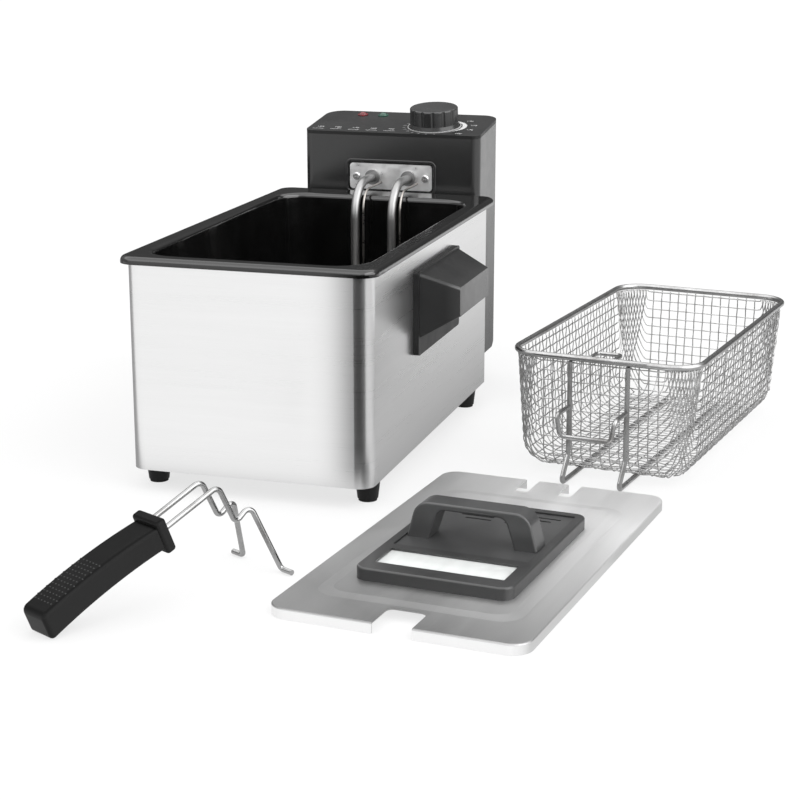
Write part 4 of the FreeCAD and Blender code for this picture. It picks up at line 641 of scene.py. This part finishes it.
def tube_mesh(paths, radius, sides):
    """Points and faces of round tubes along the paths, closed at both ends."""
    points = []
    faces = []
    for path in paths:
        base = len(points)
        up = ASIDE
        for index, centre in enumerate(path):
            ahead = path[min(index + 1, len(path) - 1)] - path[max(index - 1, 0)]
            ahead.normalize()
            side = ahead.cross(up)
            side.normalize()
            up = side.cross(ahead)
            points += ring_points(centre, side, up, radius, sides)
        last = len(points) - sides
        faces += ring_faces(base, len(path), sides)
        faces.append(tuple(range(base, base + sides))[::-1])
        faces.append(tuple(range(last, last + sides)))
    return points, faces


def woven_basket():
    """Fine woven mesh in place of the plain one."""
    wires = straight_wires() + level_wires()
    points, faces = tube_mesh(wires, WEAVE_WIRE_R, WEAVE_SIDES)
    placed = [BASKET_PLACE @ (p * MM) for p in points]
    weave_finish = chrome_wire("weave_wire", level=0.46, rough=(0.2, 0.36), patch=0.01)
    weave = new_piece("basket_weave", placed, faces, weave_finish, "basket")
    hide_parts("basket_mesh")


# Prints on the panel and the knob, in millimetres in the panel's own frame

INK_LIFT = 0.06
KNOB_CENTRE = (34.0, 30.0)
KNOB_R = 22.5
POINTER_W = 1.4
POINTER_Z = (4.6, 16.6)
CRESCENT_R = 26.6
CRESCENT_W = 4.2
CRESCENT_ENDS = (-38, 62)
CRESCENT_STEPS = 40
TICK_R = (27.4, 30.2)
TICK_W = 0.6
TICK_ANGLES = range(105, 286, 15)
DIAL_NUMBER_R = 37.0
DIAL_NUMBERS = (("130", 40), ("150", 14), ("170", -12), ("190", -38))
NUMBER_ROW = ("190", "180", "170", "160", "150")
NUMBER_ROW_X = (-74.0, -56.5, -39.0, -21.5, -4.0)
NUMBER_ROW_Y = 15.0
NUMBER_SIZE = 4.4
ROW_RULE_Y = 8.0
ROW_RULE = (11.0, 0.6)


def on_panel(x, y, z):
    """Point of the panel's frame in the frame of the whole object."""
    return PANEL_PLACE @ (Vector((x, y, z)) * MM)


def on_dial(radius, angle):
    """Point about the knob's middle, the angle in degrees."""
    a = math.radians(angle)
    return KNOB_CENTRE[0] + radius * math.cos(a), KNOB_CENTRE[1] + radius * math.sin(a)


def crescent():
    """Band beside the knob that swells from nothing to its full width and back."""
    points = []
    first, last = CRESCENT_ENDS
    for step in range(CRESCENT_STEPS + 1):
        share = step / CRESCENT_STEPS
        angle = first + share * (last - first)
        points.append(on_dial(CRESCENT_R, angle))
        points.append(on_dial(CRESCENT_R + CRESCENT_W * math.sin(math.pi * share), angle))
    faces = [(2 * i, 2 * i + 2, 2 * i + 3, 2 * i + 1) for i in range(CRESCENT_STEPS)]
    return points, faces


def dial_ticks():
    """Short lines that point at the knob."""
    inner, outer = TICK_R
    half = math.degrees(TICK_W / 2 / outer)
    return quads([on_dial(inner, angle - half), on_dial(outer, angle - half), on_dial(outer, angle + half),
                  on_dial(inner, angle + half)] for angle in TICK_ANGLES)


def row_rules():
    """Short line below each number of the row."""
    half = ROW_RULE[0] / 2
    low, high = ROW_RULE_Y, ROW_RULE_Y + ROW_RULE[1]
    return quads([(x - half, low), (x + half, low), (x + half, high), (x - half, high)] for x in NUMBER_ROW_X)


def number_mesh(text, centre):
    """Flat figures about their middle."""
    curve = bpy.data.curves.new("figures", "FONT")
    curve.body = text
    curve.size = NUMBER_SIZE
    curve.align_x = "CENTER"
    curve.align_y = "CENTER"
    source = bpy.data.objects.new("figures", curve)
    mesh = bpy.data.meshes.new_from_object(source)
    points = [(v.co.x + centre[0], v.co.y + centre[1]) for v in mesh.vertices]
    faces = [tuple(polygon.vertices) for polygon in mesh.polygons]
    bpy.data.objects.remove(source)
    bpy.data.curves.remove(curve)
    bpy.data.meshes.remove(mesh)
    return points, faces


def knob_pointer(ink):
    """Line on the knob's side; at rest it points to the back."""
    low, high = POINTER_Z
    half = POINTER_W / 2
    y = KNOB_CENTRE[1] + KNOB_R + INK_LIFT
    corners = ((half, low), (-half, low), (-half, high), (half, high))
    points = [on_panel(KNOB_CENTRE[0] + x, y, z) for x, z in corners]
    new_piece("knob_pointer", points, [(0, 1, 2, 3)], ink, "thermostat_knob", smooth=False)


def panel_prints():
    """Dial, numbers and lines on the panel, and the knob's pointer."""
    ink = print_ink("panel_ink", level=0.7)
    numbers = [number_mesh(text, on_dial(DIAL_NUMBER_R, angle)) for text, angle in DIAL_NUMBERS]
    numbers += [number_mesh(text, (x, NUMBER_ROW_Y)) for text, x in zip(NUMBER_ROW, NUMBER_ROW_X)]
    prints = {"dial_crescent": crescent(), "dial_ticks": dial_ticks(), "panel_rules": row_rules(),
              "panel_numbers": joined(numbers)}
    for name, (points, faces) in prints.items():
        placed = [on_panel(x, y, INK_LIFT) for x, y in points]
        new_piece(name, placed, faces, ink, "control_head", smooth=False)
    knob_pointer(ink)


# Raised dots on the basket handle's grip, in millimetres in the handle's own frame

DOT_R = 0.8
DOT_H = 0.4
DOT_PITCH = 3.4
DOT_ROWS = 12
DOT_FILE = 3
DOT_FIRST_X = -147.0
# Rings from the foot up, as shares of the radius and of the height
DOT_RINGS = ((1.0, 0.0), (0.85, 0.55), (0.45, 0.9))
DOT_SIDES = 8
ABOVE_GRIP = 200.0
LEAST_UPRIGHT = 0.6


def dot_mesh(spot, normal):
    """Points and faces of one dome."""
    side = normal.orthogonal().normalized()
    ahead = normal.cross(side)
    points = []
    for share, lift in DOT_RINGS:
        ring = ring_points(spot, side, ahead, DOT_R * share * MM, DOT_SIDES)
        points += [p + normal * (DOT_H * lift * MM) for p in ring]
    top = len(points)
    last = top - DOT_SIDES
    points.append(spot + normal * (DOT_H * MM))
    faces = ring_faces(0, len(DOT_RINGS), DOT_SIDES)
    faces += [(last + corner, last + (corner + 1) % DOT_SIDES, top) for corner in range(DOT_SIDES)]
    return points, faces


def grip_dots():
    """Domes set square on the grip's upper face where a ray from above meets it."""
    grip = NODES["handle_grip"].data
    tree = BVHTree.FromPolygons([v.co for v in grip.vertices], [tuple(p.vertices) for p in grip.polygons])
    dots = []
    for row in range(DOT_ROWS):
        odd = row % 2
        for file in range(-DOT_FILE, DOT_FILE + 1 - odd):
            above = Vector((DOT_FIRST_X - row * DOT_PITCH, (file + odd / 2) * DOT_PITCH, ABOVE_GRIP))
            spot, normal, _, _ = tree.ray_cast(GRIP_PLACE @ (above * MM), Vector((0, 0, -1)))
            if spot is not None and normal.z >= LEAST_UPRIGHT:
                dots.append(dot_mesh(spot, normal))
    points, faces = joined(dots)
    shiny = moulded_plastic("dot_plastic", level=0.012, rough=(0.18, 0.28), specular=0.3)
    new_piece("grip_dots", points, faces, shiny, "basket_handle")


# Stage: floor, room, lamps, cards and camera

WHITE_PAPER = 0.97
FLOOR_HALF = 20.0
FLOOR_Z = -0.0004
FLOOR_GREY = 0.2
FLOOR_GLOW = 0.72
# What shiny surfaces see of the floor: grey beside the casing, paler to the right, and white in front
PATCH_LEVEL = (0.34, 0.92)
PATCH_X = (0.1, 0.36)
PATCH_Y = (-0.24, -0.16)
ROOM_FILL = 0.2
# What shiny surfaces see of the room: dark low at the back, bright above and in front
ROOM_LEVEL = (0.1, 0.6)
ROOM_LEAN = (-0.3, 0.4)
ROOM_SLANT = -0.6
CARD_HEIGHT = 0.2
CARD_DARK = 0.02
CARD_GREY = 0.58


def make_floor():
    """White paper that keeps the object's shadow."""
    material = new_material("floor")
    rays = node(material, "ShaderNodeLightPath").outputs
    paper = node(material, "ShaderNodeBsdfDiffuse", {"Color": (*grey(FLOOR_GREY), 1)})
    glow = emission(material, FLOOR_GLOW)
    seen = node(material, "ShaderNodeAddShader", {0: paper.outputs[0], 1: glow.outputs[0]})
    lit = mixed_shader(material, rays["Is Camera Ray"], paper, seen)
    beside = spread(material, along(material, "X"), *PATCH_LEVEL, *PATCH_X)
    before = spread(material, along(material, "Y"), WHITE_PAPER, 0.0, *PATCH_Y)
    mirrored = emission(material, computed(material, "MAXIMUM", beside, before))
    shiny = computed(material, "MAXIMUM", rays["Is Glossy Ray"], rays["Is Transmission Ray"])
    ended(material, mixed_shader(material, shiny, lit, mirrored))
    size = FLOOR_HALF
    corners = [(x, y, FLOOR_Z) for x, y in ((-size, -size), (size, -size), (size, size), (-size, size))]
    floor = linked("floor", new_mesh("floor", corners, [(0, 1, 2, 3)], material))


def backdrop(world, strength):
    """White surroundings of the given strength."""
    return node(world, "ShaderNodeBackground", {"Color": WHITE, "Strength": strength})


def make_world():
    """Room that is white to the camera and lights the object evenly."""
    world = bpy.data.worlds.new("studio")
    bpy.context.scene.world = world
    world.use_nodes = True
    world.node_tree.nodes.clear()
    rays = node(world, "ShaderNodeLightPath").outputs
    direction = node(world, "ShaderNodeTexCoord").outputs["Generated"]
    parts = node(world, "ShaderNodeSeparateXYZ", {"Vector": direction}).outputs
    lean = added(world, parts["Z"], parts["Y"], share=ROOM_SLANT)
    mirrored = backdrop(world, spread(world, lean, *ROOM_LEVEL, *ROOM_LEAN))
    lit = mixed_shader(world, rays["Is Glossy Ray"], backdrop(world, ROOM_FILL), mirrored)
    seen = computed(world, "MAXIMUM", rays["Is Camera Ray"], rays["Is Transmission Ray"])
    whole = mixed_shader(world, seen, lit, backdrop(world, 1.0))
    node(world, "ShaderNodeOutputWorld", {"Surface": whole.outputs[0]})


def make_sun(name, aim, strength, angle):
    """Even light that travels along the aim; a wide angle in degrees gives soft shadows."""
    light = bpy.data.lights.new(name, "SUN")
    light.energy = strength
    light.angle = math.radians(angle)
    lamp = linked(name, light)
    lamp.rotation_euler = Vector(aim).to_track_quat("-Z", "Y").to_euler()


def make_card(name, corners, shade, fade=None):
    """Card that only shiny surfaces behind it see, like a studio flag; it may fade in from white along X."""
    material = new_material(name)
    level = shade
    if fade:
        level = spread(material, along(material, "X"), WHITE_PAPER, shade, *fade)
    clear = node(material, "ShaderNodeBsdfTransparent")
    behind = node(material, "ShaderNodeNewGeometry").outputs["Backfacing"]
    ended(material, mixed_shader(material, behind, clear, emission(material, level)))
    card = linked(name, new_mesh(name, corners, [tuple(range(len(corners)))], material))
    card.visible_camera = False
    card.visible_diffuse = False
    card.visible_transmission = False
    card.visible_shadow = False


def stand_cards(name, path, shade, fade=None):
    """Standing cards along a path on the floor."""
    for index, (start, end) in enumerate(zip(path, path[1:])):
        corners = [(*start, 0.0), (*end, 0.0), (*end, CARD_HEIGHT), (*start, CARD_HEIGHT)]
        make_card(f"{name}_{index}", corners, shade, fade)


def make_stage():
    """Floor, room, three soft suns, and the cards that draw the edges of the steel."""
    make_floor()
    make_world()
    make_sun("top_sun", aim=(0.05, 0.1, -1), strength=3.2, angle=110)
    make_sun("right_sun", aim=(-1, 0.25, -0.45), strength=2.6, angle=70)
    make_sun("front_sun", aim=(0.4, 1, -0.6), strength=0.35, angle=60)
    stand_cards("soft_flag", ((0.03, -0.243), (0.07, -0.243)), CARD_DARK, fade=(0.044, 0.072))
    stand_cards("corner_flag", ((0.07, -0.243), (0.112, -0.245), (0.16, -0.205)), CARD_DARK)
    stand_cards("edge_flag", ((0.16, -0.205), (0.3, -0.05)), CARD_GREY)
    stand_cards("left_flag", ((-0.16, 0.5), (-0.2, 0.15)), CARD_DARK)


def make_camera():
    """Camera in front of the object, to the right and above it."""
    data = bpy.data.cameras.new("camera")
    data.lens = CAMERA_LENS
    data.sensor_width = CAMERA_SENSOR
    camera = linked("camera", data)
    camera.location = CAMERA_PLACE
    camera.rotation_euler = (math.pi / 2 - CAMERA_DOWN, 0, CAMERA_TURN)
    bpy.context.scene.camera = camera
    bpy.context.scene.view_settings.view_transform = "Standard"


paint_nodes()
woven_basket()
panel_prints()
grip_dots()
make_stage()
make_camera()
